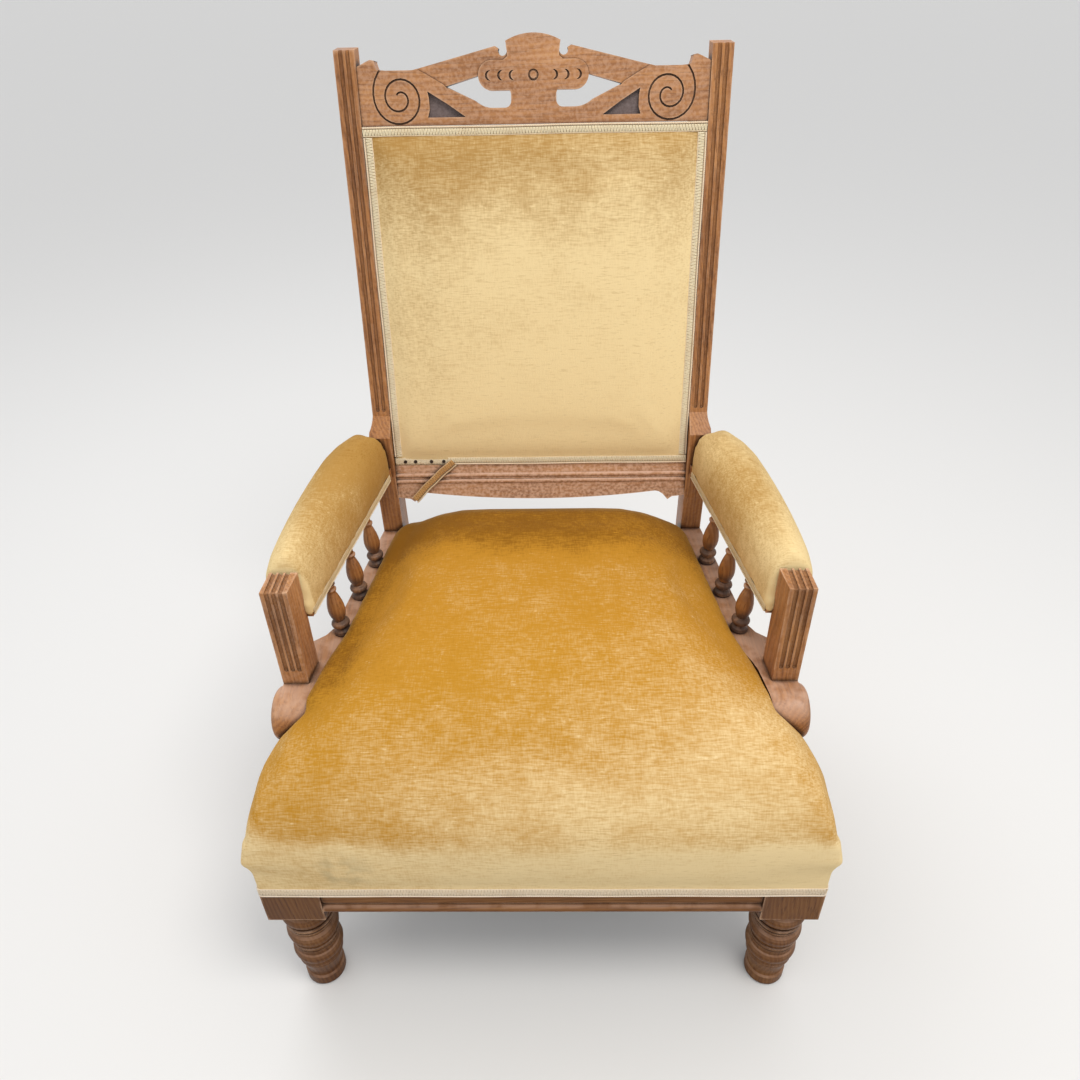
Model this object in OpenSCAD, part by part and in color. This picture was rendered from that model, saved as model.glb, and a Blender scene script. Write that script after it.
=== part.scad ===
// Parlour armchair: an oak show-wood frame with a carved crest, a sprung seat,
// a stuffed back panel and padded arms carried on posts and turned spindles.
// Millimetres. +Z is up, the front faces -Y, and left is -X, as seen from in front.
// Pieces are drawn with y = 0 at the front of the seat frame, then set about the floor centre.

/* [Seat frame] */
// Width over the two front leg blocks
front_w = 644; // [560:1:720]
// Depth from the front of the seat frame to the front of the rear posts, at rail height
seat_d = 468; // [420:1:520]
// Height of the underside of the seat rails
rail_bottom = 183; // [165:1:215]
// Height of the seat rails
rail_h = 79; // [65:1:95]
// Thickness of the seat rails
rail_t = 26; // [20:1:30]
// Length of the seat rail tenons
rail_tenon = 22; // [14:1:24]
// Thickness of the seat rail tenons
tenon_t = 10; // [6:1:12]

/* [Front legs] */
// Side of the square block at the head of each front leg
leg_block = 68; // [56:1:80]
// Height of the turned part of the front leg
leg_turned_h = 171; // [120:1:176]
// Largest radius of the turned rings
leg_ring_r = 33; // [24:1:34]
// Radius of the foot
leg_foot_r = 25; // [18:1:30]

/* [Rear posts] */
// Half of the space between the two rear posts
post_in = 201; // [180:1:230]
// Width of the upper part of a rear post
stile_w = 24; // [18:1:30]
// Depth of the upper part of a rear post, front to back
stile_d = 27; // [22:1:34]
// Width of the lower part of a rear post
post_w = 28; // [24:1:34]
// Depth of the lower part of a rear post, front to back
post_d = 42; // [36:1:50]
// Height of the shoulder where the post thins and starts to rake back
shoulder_z = 582; // [540:1:620]
// Overall height of the rear posts
post_top = 1004; // [900:1:1080]
// Backward rake of the upper posts, in degrees
rake = 9.4; // [5:0.1:14]
// How far the back leg sweeps back at the floor
leg_sweep = 36; // [10:1:60]

/* [Crest rail] */
// Height of the crest from its underside to the top of the posts, along their slope
crest_h = 77.7; // [68:0.1:90]
// Thickness of the crest plank
crest_t = 22; // [16:1:24]
// Radius of the outer turn of the carved scroll
scroll_r = 32; // [26:1:34]
// Depth of the carved lines
carve_d = 2.2; // [1:0.1:4]
// Width of the carved lines
carve_w = 2.2; // [1:0.1:4]
// Depth of the sunk triangles
sunk_d = 6; // [3:0.5:10]

/* [Back] */
// Length down the posts from the shoulder to the bottom edge of the back panel
panel_drop = 71; // [50:1:90]
// How far the back pad stands proud of the posts at its middle
back_crown = 17; // [8:1:26]
// Depth of the lower back rail at its middle
lower_rail_h = 54; // [44:1:70]
// Thickness of the lower back rail
lower_rail_t = 22; // [16:1:24]

/* [Arms] */
// Height of the top of the base rail under the spindles
base_top = 404; // [380:1:430]
// Radius of the round nose of the base rail, and half of its depth
nose_r = 32.5; // [26:0.5:36]
// Distance of the centre of the nose behind the front of the seat frame
nose_y = 141; // [120:1:160]
// Width of the base rail
base_w = 27; // [22:1:32]
// How far the outer face of an arm post stands inside the side of the front leg block
arm_inset = 24; // [16:1:32]
// How far the round nose of the base rail stands out past the arm post
nose_proud = 9; // [4:0.5:12]
// Width of an arm post
arm_post_w = 30; // [24:1:36]
// Depth of an arm post, front to back
arm_post_d = 36; // [28:1:44]
// Height of the top of the arm posts
arm_post_top = 540; // [500:1:570]
// Height of the underside of the arm rail at the arm post
arm_under = 476; // [460:1:500]
// Rise of the arm towards the back, in degrees
arm_rise = 4.6; // [0:0.1:8]
// Thickness of the arm rail
arm_rail_t = 16; // [14:1:22]
// Width of an arm pad at the arm post
arm_pad_w = 51.5; // [44:0.5:58]
// How far the arm pad hangs over the outer side of the arm post
arm_over = 11; // [6:1:14]
// Thickness of the arm pad above its rail, at the crown
arm_pad_h = 62; // [48:1:70]
// Largest radius of the spindles
spindle_r = 12.2; // [9:0.1:13]
// Radius of the spindle tenons
spindle_tenon_r = 3.5; // [3:0.5:5]

/* [Upholstery] */
// Height of the lower edge of the seat cover, at the bottom of the gimp
cover_bottom = 221; // [212:1:230]
// Height of the fullest line of the seat border
roll_z = 290; // [280:1:300]
// Height of the crown of the seat
crown_z = 453; // [430:1:480]
// Width of the gimp on the seat
seat_gimp_w = 15; // [10:1:18]
// Width of the gimp on the back and arms
gimp_w = 11; // [8:1:14]
// Thickness of the gimp
gimp_t = 1.6; // [1:0.1:2.5]
// Depth of the rebate that the seat cover lies in, at the rails and leg blocks
rebate = 4; // [2:0.5:6]
// Thickness of webbing and hessian
cloth_t = 1.4; // [1:0.1:2]
// Radius of the spring wire
wire_r = 1.7; // [1.2:0.1:2.2]
// Turns in each seat spring
spring_turns = 4; // [3:1:5]

/* [Fits] */
// Clearance of a soft piece from its neighbours
soft_gap = 0.3; // [0.2:0.1:0.5]
// Clearance of a tenon in its mortise, on each face
joint_gap = 0.1; // [0.05:0.05:0.3]

/* [Hidden] */
$fn = 64;

oak = "peru";
old_oak = "sienna";
deal = "burlywood";
velvet = "goldenrod";
cream = "wheat";
steel = "dimgray";
hessian = "tan";

// Seat frame
front_half = front_w / 2;
rail_top = rail_bottom + rail_h;
block_in = front_half - leg_block;
leg_x = front_half - leg_block / 2;
leg_y = leg_block / 2;
post_out = post_in + post_w;
side_run = (front_half - rebate - post_out + 1) / (seat_d - leg_block);
bead_r = 7;

// Rear posts
knee_z = shoulder_z - 22;
knee_forward = 12;
face_slope = tan(rake);
post_lean = 0.04;
face_y = seat_d + 11.6;
knee_y = seat_d - knee_forward;
foot_d = 32;
groove_r = 2.4;

// Back panel
crest_set = 2.5;
panel_half = post_in - 0.6;
panel_set = 9;
strip_w = 20;
web_w = 50;
cover_t = 2;
slope_len = (post_top - shoulder_z) / cos(rake);
crest_foot = slope_len - crest_h;
panel_low = -panel_drop;
panel_high = crest_foot;

// Arms
arm_post_out = front_half - arm_inset;
nose_out = arm_post_out + nose_proud;
arm_post_y = nose_y + 15;
arm_front = arm_post_y + arm_post_d;
arm_len = (knee_y - arm_front - 2 * soft_gap) / cos(arm_rise);
arm_past = 34;
head_in_y = arm_front + 43;
arm_out_front = arm_post_out + arm_over;
arm_in_front = arm_out_front - arm_pad_w;
arm_taper = (arm_in_front - post_in - 4.4) / arm_len;
arm_bow = arm_out_front - post_out - 47;
arm_skew = 3;
rail_inset = 1;
rail_outset = 8;
rail_end = seat_d - 6;
spindle_stations = [for (i = [0:2]) arm_front + 54 + (knee_y - arm_front - 125) * i / 2];
base_inset = 25.7;
base_slope = (arm_post_out - arm_post_w - base_inset - post_in - 1.5)
    / (rail_end - arm_post_y - arm_post_d / 2);
spindle_lean = 6;
spindle_seat = 9;

// Seat upholstery
seat_bulge = 4;
pad_front = -7;
pad_low = rail_top + cloth_t + soft_gap;
dome_run = 215;
dome_power = 1.9;
side_pull = 1.3;
pad_back = seat_d + 29;
riser_t = 24;
riser_front = 150;
spring_top = rail_top + 60;

// Whole chair, front to back
front_most = pad_front;
back_most = face_y + (post_top - shoulder_z) * face_slope + stile_d;
middle_y = (front_most + back_most) / 2;

function smooth(t) = let (u = max(0, min(1, t))) u * u * (3 - 2 * u);
function mix(a, b, t) = a + (b - a) * t;

// Outer line of the seat frame, as half width at a depth
function side_x(y) = front_half - rebate - side_run * max(0, y - leg_block);
// Front face of a lower post, as depth at a height
function post_face(z) = knee_y + post_lean * (knee_z - max(z, rail_top))
    + leg_sweep * pow(max(0, 1 - z / rail_top), 1.6);
function post_rear(z) = knee_y + post_d + post_lean * (knee_z - max(z, rail_top))
    + (leg_sweep - post_d + foot_d) * pow(max(0, 1 - z / rail_top), 1.3);
// Face of the upper post, as depth at a height
function stile_face(z) = face_y + (z - shoulder_z) * face_slope;
// Edges of the base rail, as half width at a depth
function base_line(y) = post_in + 1.5 + base_slope * (rail_end - y);
function base_in(y) = base_line(y) + 14 * smooth((head_in_y - y) / 65);
function base_out(y) = mix(base_line(y) + base_w, arm_post_out, smooth((head_in_y + 15 - y) / 45));
// Edges of the arm pad, as half width at a distance along the arm behind its post
function arm_in(s) = arm_in_front - arm_taper * s;
function arm_out(s) = arm_out_front - arm_bow * pow(max(0, (s - 8) / (arm_len - 9)), 2);

module centred() translate([0, -middle_y, 0]) children();
module on_side(side) mirror([side < 0 ? 1 : 0, 0, 0]) children();
// Local x, up the raked posts from the shoulder, and out of their face
module on_back() translate([0, face_y, shoulder_z]) rotate([90 - rake, 0, 0]) children();
// A profile drawn as depth and height, drawn out from x0 to x1
module across(x0, x1) translate([x0, 0, 0]) rotate([90, 0, 90]) linear_extrude(x1 - x0) children();

// A closed skin through rings of points. Each ring is half an outline, mirrored about x = 0 or
// about its partner line: point i and point n-1-i close the caps in strips.
module skin(rings) {
    n = len(rings[0]);
    last = (len(rings) - 1) * n;
    half = n / 2;
    sides = [for (k = [0:len(rings) - 2], i = [0:n - 1])
        let (a = k * n + i, b = k * n + (i + 1) % n) each [[a, b, b + n], [a, b + n, a + n]]];
    low = [for (i = [0:half - 2]) each [[n - 1 - i, n - 2 - i, i + 1], [n - 1 - i, i + 1, i]]];
    high = [for (i = [0:half - 2]) each [[last + i, last + i + 1, last + n - 2 - i],
        [last + i, last + n - 2 - i, last + n - 1 - i]]];
    polyhedron([for (ring = rings) each ring], concat(sides, low, high));
}
function mirrored_ring(half, h) = concat([for (p = half) [p[0], p[1], h]],
    [for (i = [len(half) - 1:-1:0]) [-half[i][0], half[i][1], h]]);
function strip_ring(outer, inner, h) = concat([for (p = outer) [p[0], p[1], h]],
    [for (i = [len(inner) - 1:-1:0]) [inner[i][0], inner[i][1], h]]);

// Rear posts, each one piece from the floor to the top

module post_outline() {
    zs = [for (i = [0:10]) rail_top * i / 10];
    polygon(concat([for (z = zs) [post_face(z), z]],
        [[knee_y, knee_z], [face_y, shoulder_z], [stile_face(post_top), post_top],
            [stile_face(post_top) + stile_d, post_top],
            [face_y + stile_d, shoulder_z], [post_rear(knee_z - 30), knee_z - 30]],
        [for (i = [10:-1:0]) [post_rear(zs[i]), zs[i]]]));
}
module post_blank(side) on_side(side) {
    difference() {
        across(post_in, post_out) post_outline();
        translate([post_in + stile_w, 0, shoulder_z])
            cube([post_w, back_most + 10, post_top]);
        translate([post_in + stile_w + 34, face_y - 60, shoulder_z])
            rotate([-90, 0, 0]) cylinder(r = 34 - 0.01, h = 140, $fn = 96);
    }
}
module stile_groove(x) on_back() {
    translate([x, 8, 0]) rotate([-90, 0, 0]) cylinder(r = groove_r, h = slope_len + 10, $fn = 24);
    translate([x, 8, 0]) sphere(r = groove_r, $fn = 24);
}
module rear_post(side) color(oak) centred() difference() {
    post_blank(side);
    on_side(side) {
        for (k = [1:2]) stile_groove(post_in + stile_w * k / 3);
        crest_tenon(joint_gap);
        lower_rail_tenon(joint_gap);
        side_rail_rear_tenon(joint_gap);
        back_rail_tenon(joint_gap);
        base_rail_tenon(joint_gap);
        arm_rail_rear_tenon(joint_gap);
    }
}

// Crest rail, carved from one plank

// Its heights are measured up from its underside
ear_s = 61;
ear_peak = [post_in - 16, 68];
scroll_c = [post_in - 46.5, 28.5];
scroll_top_s = 57;
band_end = [40, 80];
tablet_half = 31;
tablet_s = 84;
tablet_rise = 7.5;
bar_half = 63;
bar_low = 35;
bar_high = 65.5;
band_sunk = 2.4;
neck_half = 26;

function arc(c, r, a0, a1, n) = [for (i = [0:n]) let (a = mix(a0, a1, i / n)) c + r * [cos(a), sin(a)]];
function crest_half() = let (
        tablet_r = (tablet_half * tablet_half + tablet_rise * tablet_rise) / (2 * tablet_rise),
        sweep = asin(tablet_half / tablet_r))
    concat([[post_in, 0], [post_in, ear_s], [ear_peak[0] + 5, ear_peak[1] - 2], ear_peak,
            [ear_peak[0] - 5, ear_peak[1] - 1]],
        arc([post_in - 51, 71.5], 31, -9, -26, 4), [[post_in - 33, scroll_top_s]],
        [[post_in - 63, scroll_top_s], band_end + [3, -0.7]],
        arc([band_end[0] - 5.5, band_end[1] - 5.5], 5, 30, -205, 10), [[tablet_half - 0.5, band_end[1] + 2]],
        arc([0, tablet_s + tablet_rise - tablet_r], tablet_r, 90 - sweep, 90, 8));
module crest_outline() {
    right = crest_half();
    polygon(concat(right, [for (i = [len(right) - 2:-1:0]) [-right[i][0], right[i][1]]]));
}
// Pierced opening beside the neck of the cartouche
module crest_opening()
    polygon(concat([[post_in - 100, bar_low + 5], [bar_half - 0.5, bar_high - 15]],
        [[bar_half - 16, bar_high - 15.5], [neck_half + 4, bar_low + 7], [neck_half, bar_low - 3]],
        arc([neck_half + 7.2, bar_low - 10.4], 7.2, 180, 270, 6),
        [[bar_half - 16, bar_low - 17.6]], arc([bar_half - 16, bar_low + 15], 32.6, -90, -50, 6)));
module cartouche_shape() {
    lobe = (bar_high - bar_low) / 2;
    polygon(concat(arc([bar_half - lobe, bar_low + lobe], lobe, -90, 90, 20),
        arc([lobe - bar_half, bar_low + lobe], lobe, 90, 270, 20)));
}
// The band from the scroll to the tablet lies lower than the strap, the bar and the tablet
module crest_band() difference() {
    polygon([[post_in - 67, scroll_top_s + 2], [post_in - 82, scroll_top_s - 6], [post_in - 98, bar_low + 7],
        [post_in - 102, bar_low + 3], [bar_half - 5, bar_high - 20], [tablet_half - 2, bar_high - 10],
        [tablet_half - 2, tablet_s],
        [band_end[0], tablet_s + 4]]);
    polygon([[0, bar_high - 12], [tablet_half + 4, bar_high - 1], [tablet_half - 1.5, bar_high + 3.5],
        [tablet_half - 1.5, band_end[1] - 6], [tablet_half, band_end[1] + 3], [tablet_half, tablet_s + 9],
        [0, tablet_s + 9]]);
}
// Sunk triangle between the scroll and the strap
module crest_triangle() translate([post_in - 80.4, 0])
    polygon([[2.4, 8.5], [-41.6, 8.5], [-20.6, 22.5], [1.4, 35.5], [0, 28], [0, 16]]);
scroll_start = 65;
scroll_pitch = 13.3;
scroll_sweep = 735;
function scroll_radius(a) = scroll_r - 2.5 + 7.4 * pow(max(0, 1 - a / scroll_start), 1.3)
    - scroll_pitch * max(0, a - scroll_start) / 360;
// The carved line of a scroll, drawn as a narrow band that turns inwards
module scroll_line() {
    turns = [for (i = [0:52]) i * scroll_sweep / 52];
    function at(a, off) = scroll_c + (scroll_radius(a) + off) * [cos(scroll_start - a), sin(scroll_start - a)];
    polygon(concat([for (a = turns) at(a, carve_w / 2)], [for (i = [52:-1:0]) at(turns[i], -carve_w / 2)]));
}
module crescent(x) translate([x, (bar_low + bar_high) / 2]) difference() {
    circle(r = 5.2, $fn = 32);
    translate([-2.6, 0]) circle(r = 5.2, $fn = 32);
}
module crest_tenon(gap) on_back()
    translate([post_in - 1, crest_foot + 12 - gap, -crest_set - crest_t + 6 - gap])
    cube([16 + gap, 36 + 2 * gap, crest_t - 12 + 2 * gap]);
module crest_rail() color(oak) centred() {
    for (side = [-1, 1]) on_side(side) crest_tenon(0);
    on_back() translate([0, crest_foot, -crest_set - crest_t]) difference() {
        union() {
            linear_extrude(crest_t) crest_outline();
            translate([0, (bar_low + bar_high) / 2, crest_t - 1]) cylinder(r = 3.6, h = 2.6);
        }
        for (side = [-1, 1]) mirror([side < 0 ? 1 : 0, 0, 0]) {
            difference() {
                union() {
                    translate([0, 0, -1]) linear_extrude(crest_t + 2) crest_opening();
                    translate([0, 0, crest_t - band_sunk]) linear_extrude(band_sunk + 1) crest_band();
                }
                translate([0, 0, -2]) linear_extrude(crest_t + 4) cartouche_shape();
            }
            translate([0, 0, crest_t - sunk_d]) linear_extrude(sunk_d + 1) crest_triangle();
            translate([0, 0, crest_t - carve_d]) linear_extrude(carve_d + 1) scroll_line();
            for (x = [23, 36, 50]) translate([0, 0, crest_t - carve_d])
                linear_extrude(carve_d + 1) crescent(x);
        }
        translate([0, (bar_low + bar_high) / 2, crest_t - 1.4]) difference() {
            cylinder(r = 6, h = 4);
            translate([0, 0, -1]) cylinder(r = 4.2, h = 6);
        }
    }
}

// Lower back rail, with two beads and a shaped lower edge

apron_rise = 10;
drop_x = post_in - 23;
module lower_rail_outline() {
    low = panel_low - lower_rail_h + 1.5;
    run = post_in - 41;
    apron_r = (run * run + apron_rise * apron_rise) / (2 * apron_rise);
    sweep = asin(run / apron_r);
    right = concat([[post_in, panel_low + 16], [post_in, low + 3], [drop_x + 6, low + 1],
            [drop_x, low - 3.5], [drop_x - 7, low + 5], [drop_x - 13, low + 9]],
        arc([0, low + apron_r], apron_r, -90 + sweep, -90, 12));
    polygon(concat(right, [for (i = [len(right) - 2:-1:0]) [-right[i][0], right[i][1]]]));
}
module lower_rail_tenon(gap) on_back()
    translate([post_in - 1, panel_low - 40 - gap, -lower_rail_t + 6 - gap])
    cube([16 + gap, 36 + 2 * gap, lower_rail_t - 12 + 2 * gap]);
module back_lower_rail() color(oak) centred() {
    for (side = [-1, 1]) on_side(side) lower_rail_tenon(0);
    on_back() {
        difference() {
            translate([0, 0, -lower_rail_t]) linear_extrude(lower_rail_t) lower_rail_outline();
            translate([-post_in - 1, panel_low - 0.5, -panel_set - cloth_t * 2 - soft_gap])
                cube([2 * post_in + 2, 40, 40]);
        }
        for (k = [0, 1]) translate([-post_in, panel_low - 16 - 9 * k, -1])
            rotate([0, 90, 0]) cylinder(r = 3.4, h = 2 * post_in, $fn = 32);
    }
}

// Inner laths that the back is tacked to, beside the posts

module back_tacking_strip(side) color(deal) centred() on_side(side) on_back()
    translate([post_in - strip_w, panel_low + 16, -stile_d + cover_t + 1])
    cube([strip_w, panel_high - panel_low - 16, stile_d - cover_t - 1 - panel_set - 2 * cloth_t - soft_gap]);
module back_webbing() color(hessian) centred() on_back() {
    high = -panel_set - cloth_t - soft_gap / 2;
    tall = panel_high - panel_low;
    for (k = [-1:1]) translate([k * panel_half * 0.575 - web_w / 2, panel_low + 2, high - cloth_t / 2])
        cube([web_w, tall - 4, cloth_t / 2]);
    for (k = [1:3]) translate([-post_in + 2, panel_low + (tall - web_w) * k / 4, high - cloth_t])
        cube([2 * post_in - 4, web_w, cloth_t / 2]);
}
module back_hessian() color(hessian) centred() on_back()
    translate([-post_in + 1, panel_low + 1, -panel_set - cloth_t])
    cube([2 * post_in - 2, panel_high - panel_low - 2, cloth_t - 0.1]);

// Stuffed back panel, fullest in the middle and drawn down under its gimp

back_rings = [[0, -panel_set], [0, -0.2], [gimp_w, 0.8], [gimp_w + 7, 6], [gimp_w + 22, 10.5],
    [gimp_w + 48, 14], [gimp_w + 85, 16], [gimp_w + 125, back_crown]];
function back_half(inset) = let (x = panel_half - inset, low = panel_low + soft_gap + inset,
        high = panel_high - soft_gap - inset, r = 6 + inset * 0.25)
    concat([[x - r, high], [x - 0.3 * r, high - 0.3 * r], [x, high - r]],
        [for (k = [1:4]) [x, mix(high - r, low + r, k / 5)]],
        [[x, low + r], [x - 0.3 * r, low + 0.3 * r], [x - r, low]]);
module back_pad() color(velvet) centred() on_back()
    skin([for (ring = back_rings) mirrored_ring(back_half(ring[0]), ring[1])]);

module back_gimp_side(side) color(cream) centred() on_side(side) on_back()
    translate([panel_half - gimp_w, panel_low + gimp_w + 1, 1])
    cube([gimp_w, panel_high - panel_low - 2 * gimp_w - 2, gimp_t]);
module back_gimp_top() color(cream) centred() on_back()
    translate([-panel_half, panel_high - gimp_w, 1]) cube([2 * panel_half, gimp_w, gimp_t]);
// The bottom gimp is fixed from the right up to here, and hangs loose to the left of it
loose_x = 73.4 - panel_half;
module back_gimp_bottom() color(cream) centred() on_back()
    translate([loose_x, panel_low, 1]) cube([panel_half - loose_x, gimp_w, gimp_t]);
module back_gimp_loose_end() color(cream) centred() on_back()
    translate([loose_x + 10, panel_low + gimp_w, 1.05 + gimp_t]) rotate([0, 0, 222])
    cube([72, gimp_w - 1, gimp_t]);
module back_tacks() color("black") centred() on_back()
    for (x = [14.4, 28.4, 50.4, 67.4]) translate([x - panel_half, panel_low + 5, -2]) {
        cylinder(r = 0.8, h = 3.4, $fn = 16);
        translate([0, 0, 3.2]) cylinder(r = 2.4, h = 1.2, $fn = 24);
    }
module back_outside_cover() color(velvet) centred() on_back()
    translate([-post_in + soft_gap, panel_low + 17, -stile_d - cover_t + 2])
    cube([2 * (post_in - soft_gap), panel_high - panel_low - 17 - soft_gap, cover_t]);
module back_outside_gimp() color(cream) centred() on_back()
    translate([-post_in + soft_gap, panel_low + 17, -stile_d - cover_t + 2 - gimp_t]) difference() {
        cube([2 * (post_in - soft_gap), panel_high - panel_low - 17 - soft_gap, gimp_t]);
        translate([gimp_w, gimp_w, -1]) cube([2 * (post_in - soft_gap - gimp_w),
            panel_high - panel_low - 17 - soft_gap - 2 * gimp_w, gimp_t + 2]);
    }

// Front legs: a square block with the ringed leg turned below it

ring_h = 41;
module leg_ring(top, r) translate([0, 0, top - ring_h]) rotate_extrude($fn = 72) {
    belly = 15;
    neck = r - 5.5;
    polygon(concat([[0, 0], [neck, 0], [neck, 2.5], [neck + 2.6, 3.2], [neck + 2.6, 6.2], [neck + 1, 6.8]],
        [for (i = [0:10]) let (a = -72 + 144 * i / 10) [r - belly + belly * cos(a), 22 + 14.6 * sin(a) / sin(72)]],
        [[neck + 1, 37.2], [neck + 2.6, 37.8], [neck + 2.6, 40.4], [neck, ring_h], [0, ring_h]]));
}
module leg_outline() {
    taper = leg_ring_r - 10;
    polygon([[0, 0], [leg_foot_r - 2, 0], [leg_foot_r, 3], [leg_foot_r, 17], [leg_foot_r - 2, 20],
        [taper - 0.5, 22], [taper, 26], [leg_ring_r - 5, leg_turned_h - 3 * ring_h + 2],
        [leg_ring_r - 6, leg_turned_h + 1], [0, leg_turned_h + 1]]);
}
module front_leg(side) color(oak) centred() on_side(side) difference() {
    union() {
        translate([block_in, 0, leg_turned_h])
            cube([leg_block, leg_block, cover_bottom - leg_turned_h]);
        translate([block_in, rebate, cover_bottom - 1])
            cube([leg_block - rebate, leg_block - rebate, rail_top - cover_bottom + 1]);
        translate([leg_x, leg_y, 0]) {
            rotate_extrude($fn = 96) leg_outline();
            for (k = [0:2]) leg_ring(leg_turned_h - 1 - k * ring_h, leg_ring_r - k * 0.9);
        }
    }
    front_rail_tenon(joint_gap);
    side_rail_front_tenon(joint_gap);
}

// Seat rails, tenoned into the blocks and the rear posts

tenon_h = rail_h - 24;
module front_rail_tenon(gap) translate([block_in - 1, 10 - gap, rail_bottom + 12 - gap])
    cube([rail_tenon + 1 + gap, tenon_t + 2 * gap, tenon_h + 2 * gap]);
module side_rail_front_tenon(gap)
    translate([side_x(leg_block) - 8 - tenon_t - gap, leg_block - rail_tenon - gap, rail_bottom + 12 - gap])
    cube([tenon_t + 2 * gap, rail_tenon + 1 + gap, tenon_h + 2 * gap]);
module side_rail_rear_tenon(gap) translate([post_in + 8 - gap, seat_d - 8, rail_bottom + 12 - gap])
    cube([tenon_t + 2 * gap, 8 + 18 + gap, tenon_h + 2 * gap]);
module back_rail_tenon(gap)
    translate([post_in - 1, seat_d + 27 - gap, rail_bottom + 12 - gap])
    cube([7 + gap, tenon_t + 2 * gap, tenon_h + 2 * gap]);
module seat_rail_front() color(oak) centred() {
    for (side = [-1, 1]) on_side(side) front_rail_tenon(0);
    across(-block_in, block_in) difference() {
        union() {
            translate([rebate, rail_bottom]) square([rail_t, rail_h]);
            translate([rebate + 3, rail_bottom + bead_r]) circle(r = bead_r - 0.01, $fn = 32);
        }
        translate([rebate, rail_bottom + 2 * bead_r + 2]) circle(r = 1.6, $fn = 24);
    }
}
module seat_rail_side(side) color(oak) centred() on_side(side) {
    side_rail_front_tenon(0);
    side_rail_rear_tenon(0);
    difference() {
        translate([0, 0, rail_bottom]) linear_extrude(rail_h)
            polygon([[side_x(leg_block), leg_block], [post_out - 1, seat_d], [post_out - 1, seat_d + 20],
                [post_out - 1 - rail_t, seat_d + 20], [post_out - 1 - rail_t, seat_d],
                [side_x(leg_block) - rail_t, leg_block]]);
        across(post_in - 10, post_out + 10) post_outline();
    }
}
module seat_rail_back() color(deal) centred() {
    for (side = [-1, 1]) on_side(side) back_rail_tenon(0);
    translate([-post_in, seat_d + 4, rail_bottom]) cube([2 * post_in, rail_t, rail_h]);
}

// Glued and screwed blocks in the corners of the seat frame

brace = 58;
brace_h = 44;
brace_z = rail_top - brace_h - 6;
module front_brace() translate([block_in, rail_t + rebate, brace_z]) linear_extrude(brace_h)
    polygon([[0, 0], [0, leg_block - rail_t - rebate], [6, leg_block - rail_t - rebate],
        [6, brace], [-brace, 0]]);
module rear_brace() translate([post_in - 0.5, seat_d + 4, brace_z]) linear_extrude(brace_h)
    polygon([[0, 0], [-brace, 0], [-brace, -8], [-8, -brace], [0, -brace]]);
module corner_blocks() color(deal) centred() for (side = [-1, 1]) on_side(side) difference() {
    union() {
        intersection() {
            front_brace();
            translate([0, 0, brace_z]) linear_extrude(brace_h)
                polygon([[0, 0], [side_x(leg_block) - rail_t, 0], [side_x(leg_block) - rail_t, leg_block],
                    [side_x(seat_d) - rail_t, seat_d], [0, seat_d]]);
        }
        rear_brace();
    }
    brace_screws(joint_gap);
}
screw_r = 2.5;
module brace_screws(gap) {
    translate([block_in - 20, rail_t + rebate + 34, brace_z + brace_h / 2])
        rotate([90, 0, -30]) translate([0, 0, -4]) cylinder(r = screw_r + gap, h = 24 + gap, $fn = 24);
    translate([post_in - 36, seat_d - 32, brace_z + brace_h / 2])
        rotate([-90, 0, 0]) translate([0, 0, -4]) cylinder(r = screw_r + gap, h = 38 + gap, $fn = 24);
}
module corner_screws() color(steel) centred() for (side = [-1, 1]) on_side(side) brace_screws(0);

// Seat inside: webbing under the rails, springs on it, hessian over them

function frame_half(inset) = [[post_in - 2, seat_d + rail_t - inset], [post_in - 2, seat_d - 6],
    [post_out - 6 - inset, seat_d - 8], [side_x(leg_block + 4) - inset, leg_block + 4],
    [block_in - 2, leg_block + 4], [block_in - 2, rebate + inset]];
module frame_shape(inset) {
    right = frame_half(inset);
    polygon(concat(right, [for (i = [len(right) - 1:-1:0]) [-right[i][0], right[i][1]]]));
}
module seat_webbing() color(hessian) centred() intersection() {
    translate([0, 0, rail_bottom - cloth_t]) linear_extrude(cloth_t) frame_shape(6);
    union() {
        for (k = [-1:1]) translate([k * (post_in - 76) - web_w / 2, 0, rail_bottom - cloth_t / 2])
            cube([web_w, seat_d + 60, cloth_t / 2]);
        for (y = spring_rows) translate([-front_half, y - web_w / 2, rail_bottom - cloth_t])
            cube([front_w, web_w, cloth_t / 2]);
    }
}
module seat_dust_cover() color("black") centred()
    translate([0, 0, rail_bottom - cloth_t - 1]) linear_extrude(1 - 0.1) frame_shape(8);
spring_end = 40;
spring_waist = 27;
spring_rows = [for (i = [0:2]) 110 + (seat_d - 198) * i / 2];
function spring_point(t) = let (a = 360 * spring_turns * t,
        r = spring_waist + (spring_end - spring_waist) * pow(abs(2 * t - 1), 1.5))
    [r * cos(a), r * sin(a), rail_bottom + wire_r + soft_gap
        + (spring_top - rail_bottom - 2 * wire_r - 2 * soft_gap) * t];
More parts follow.
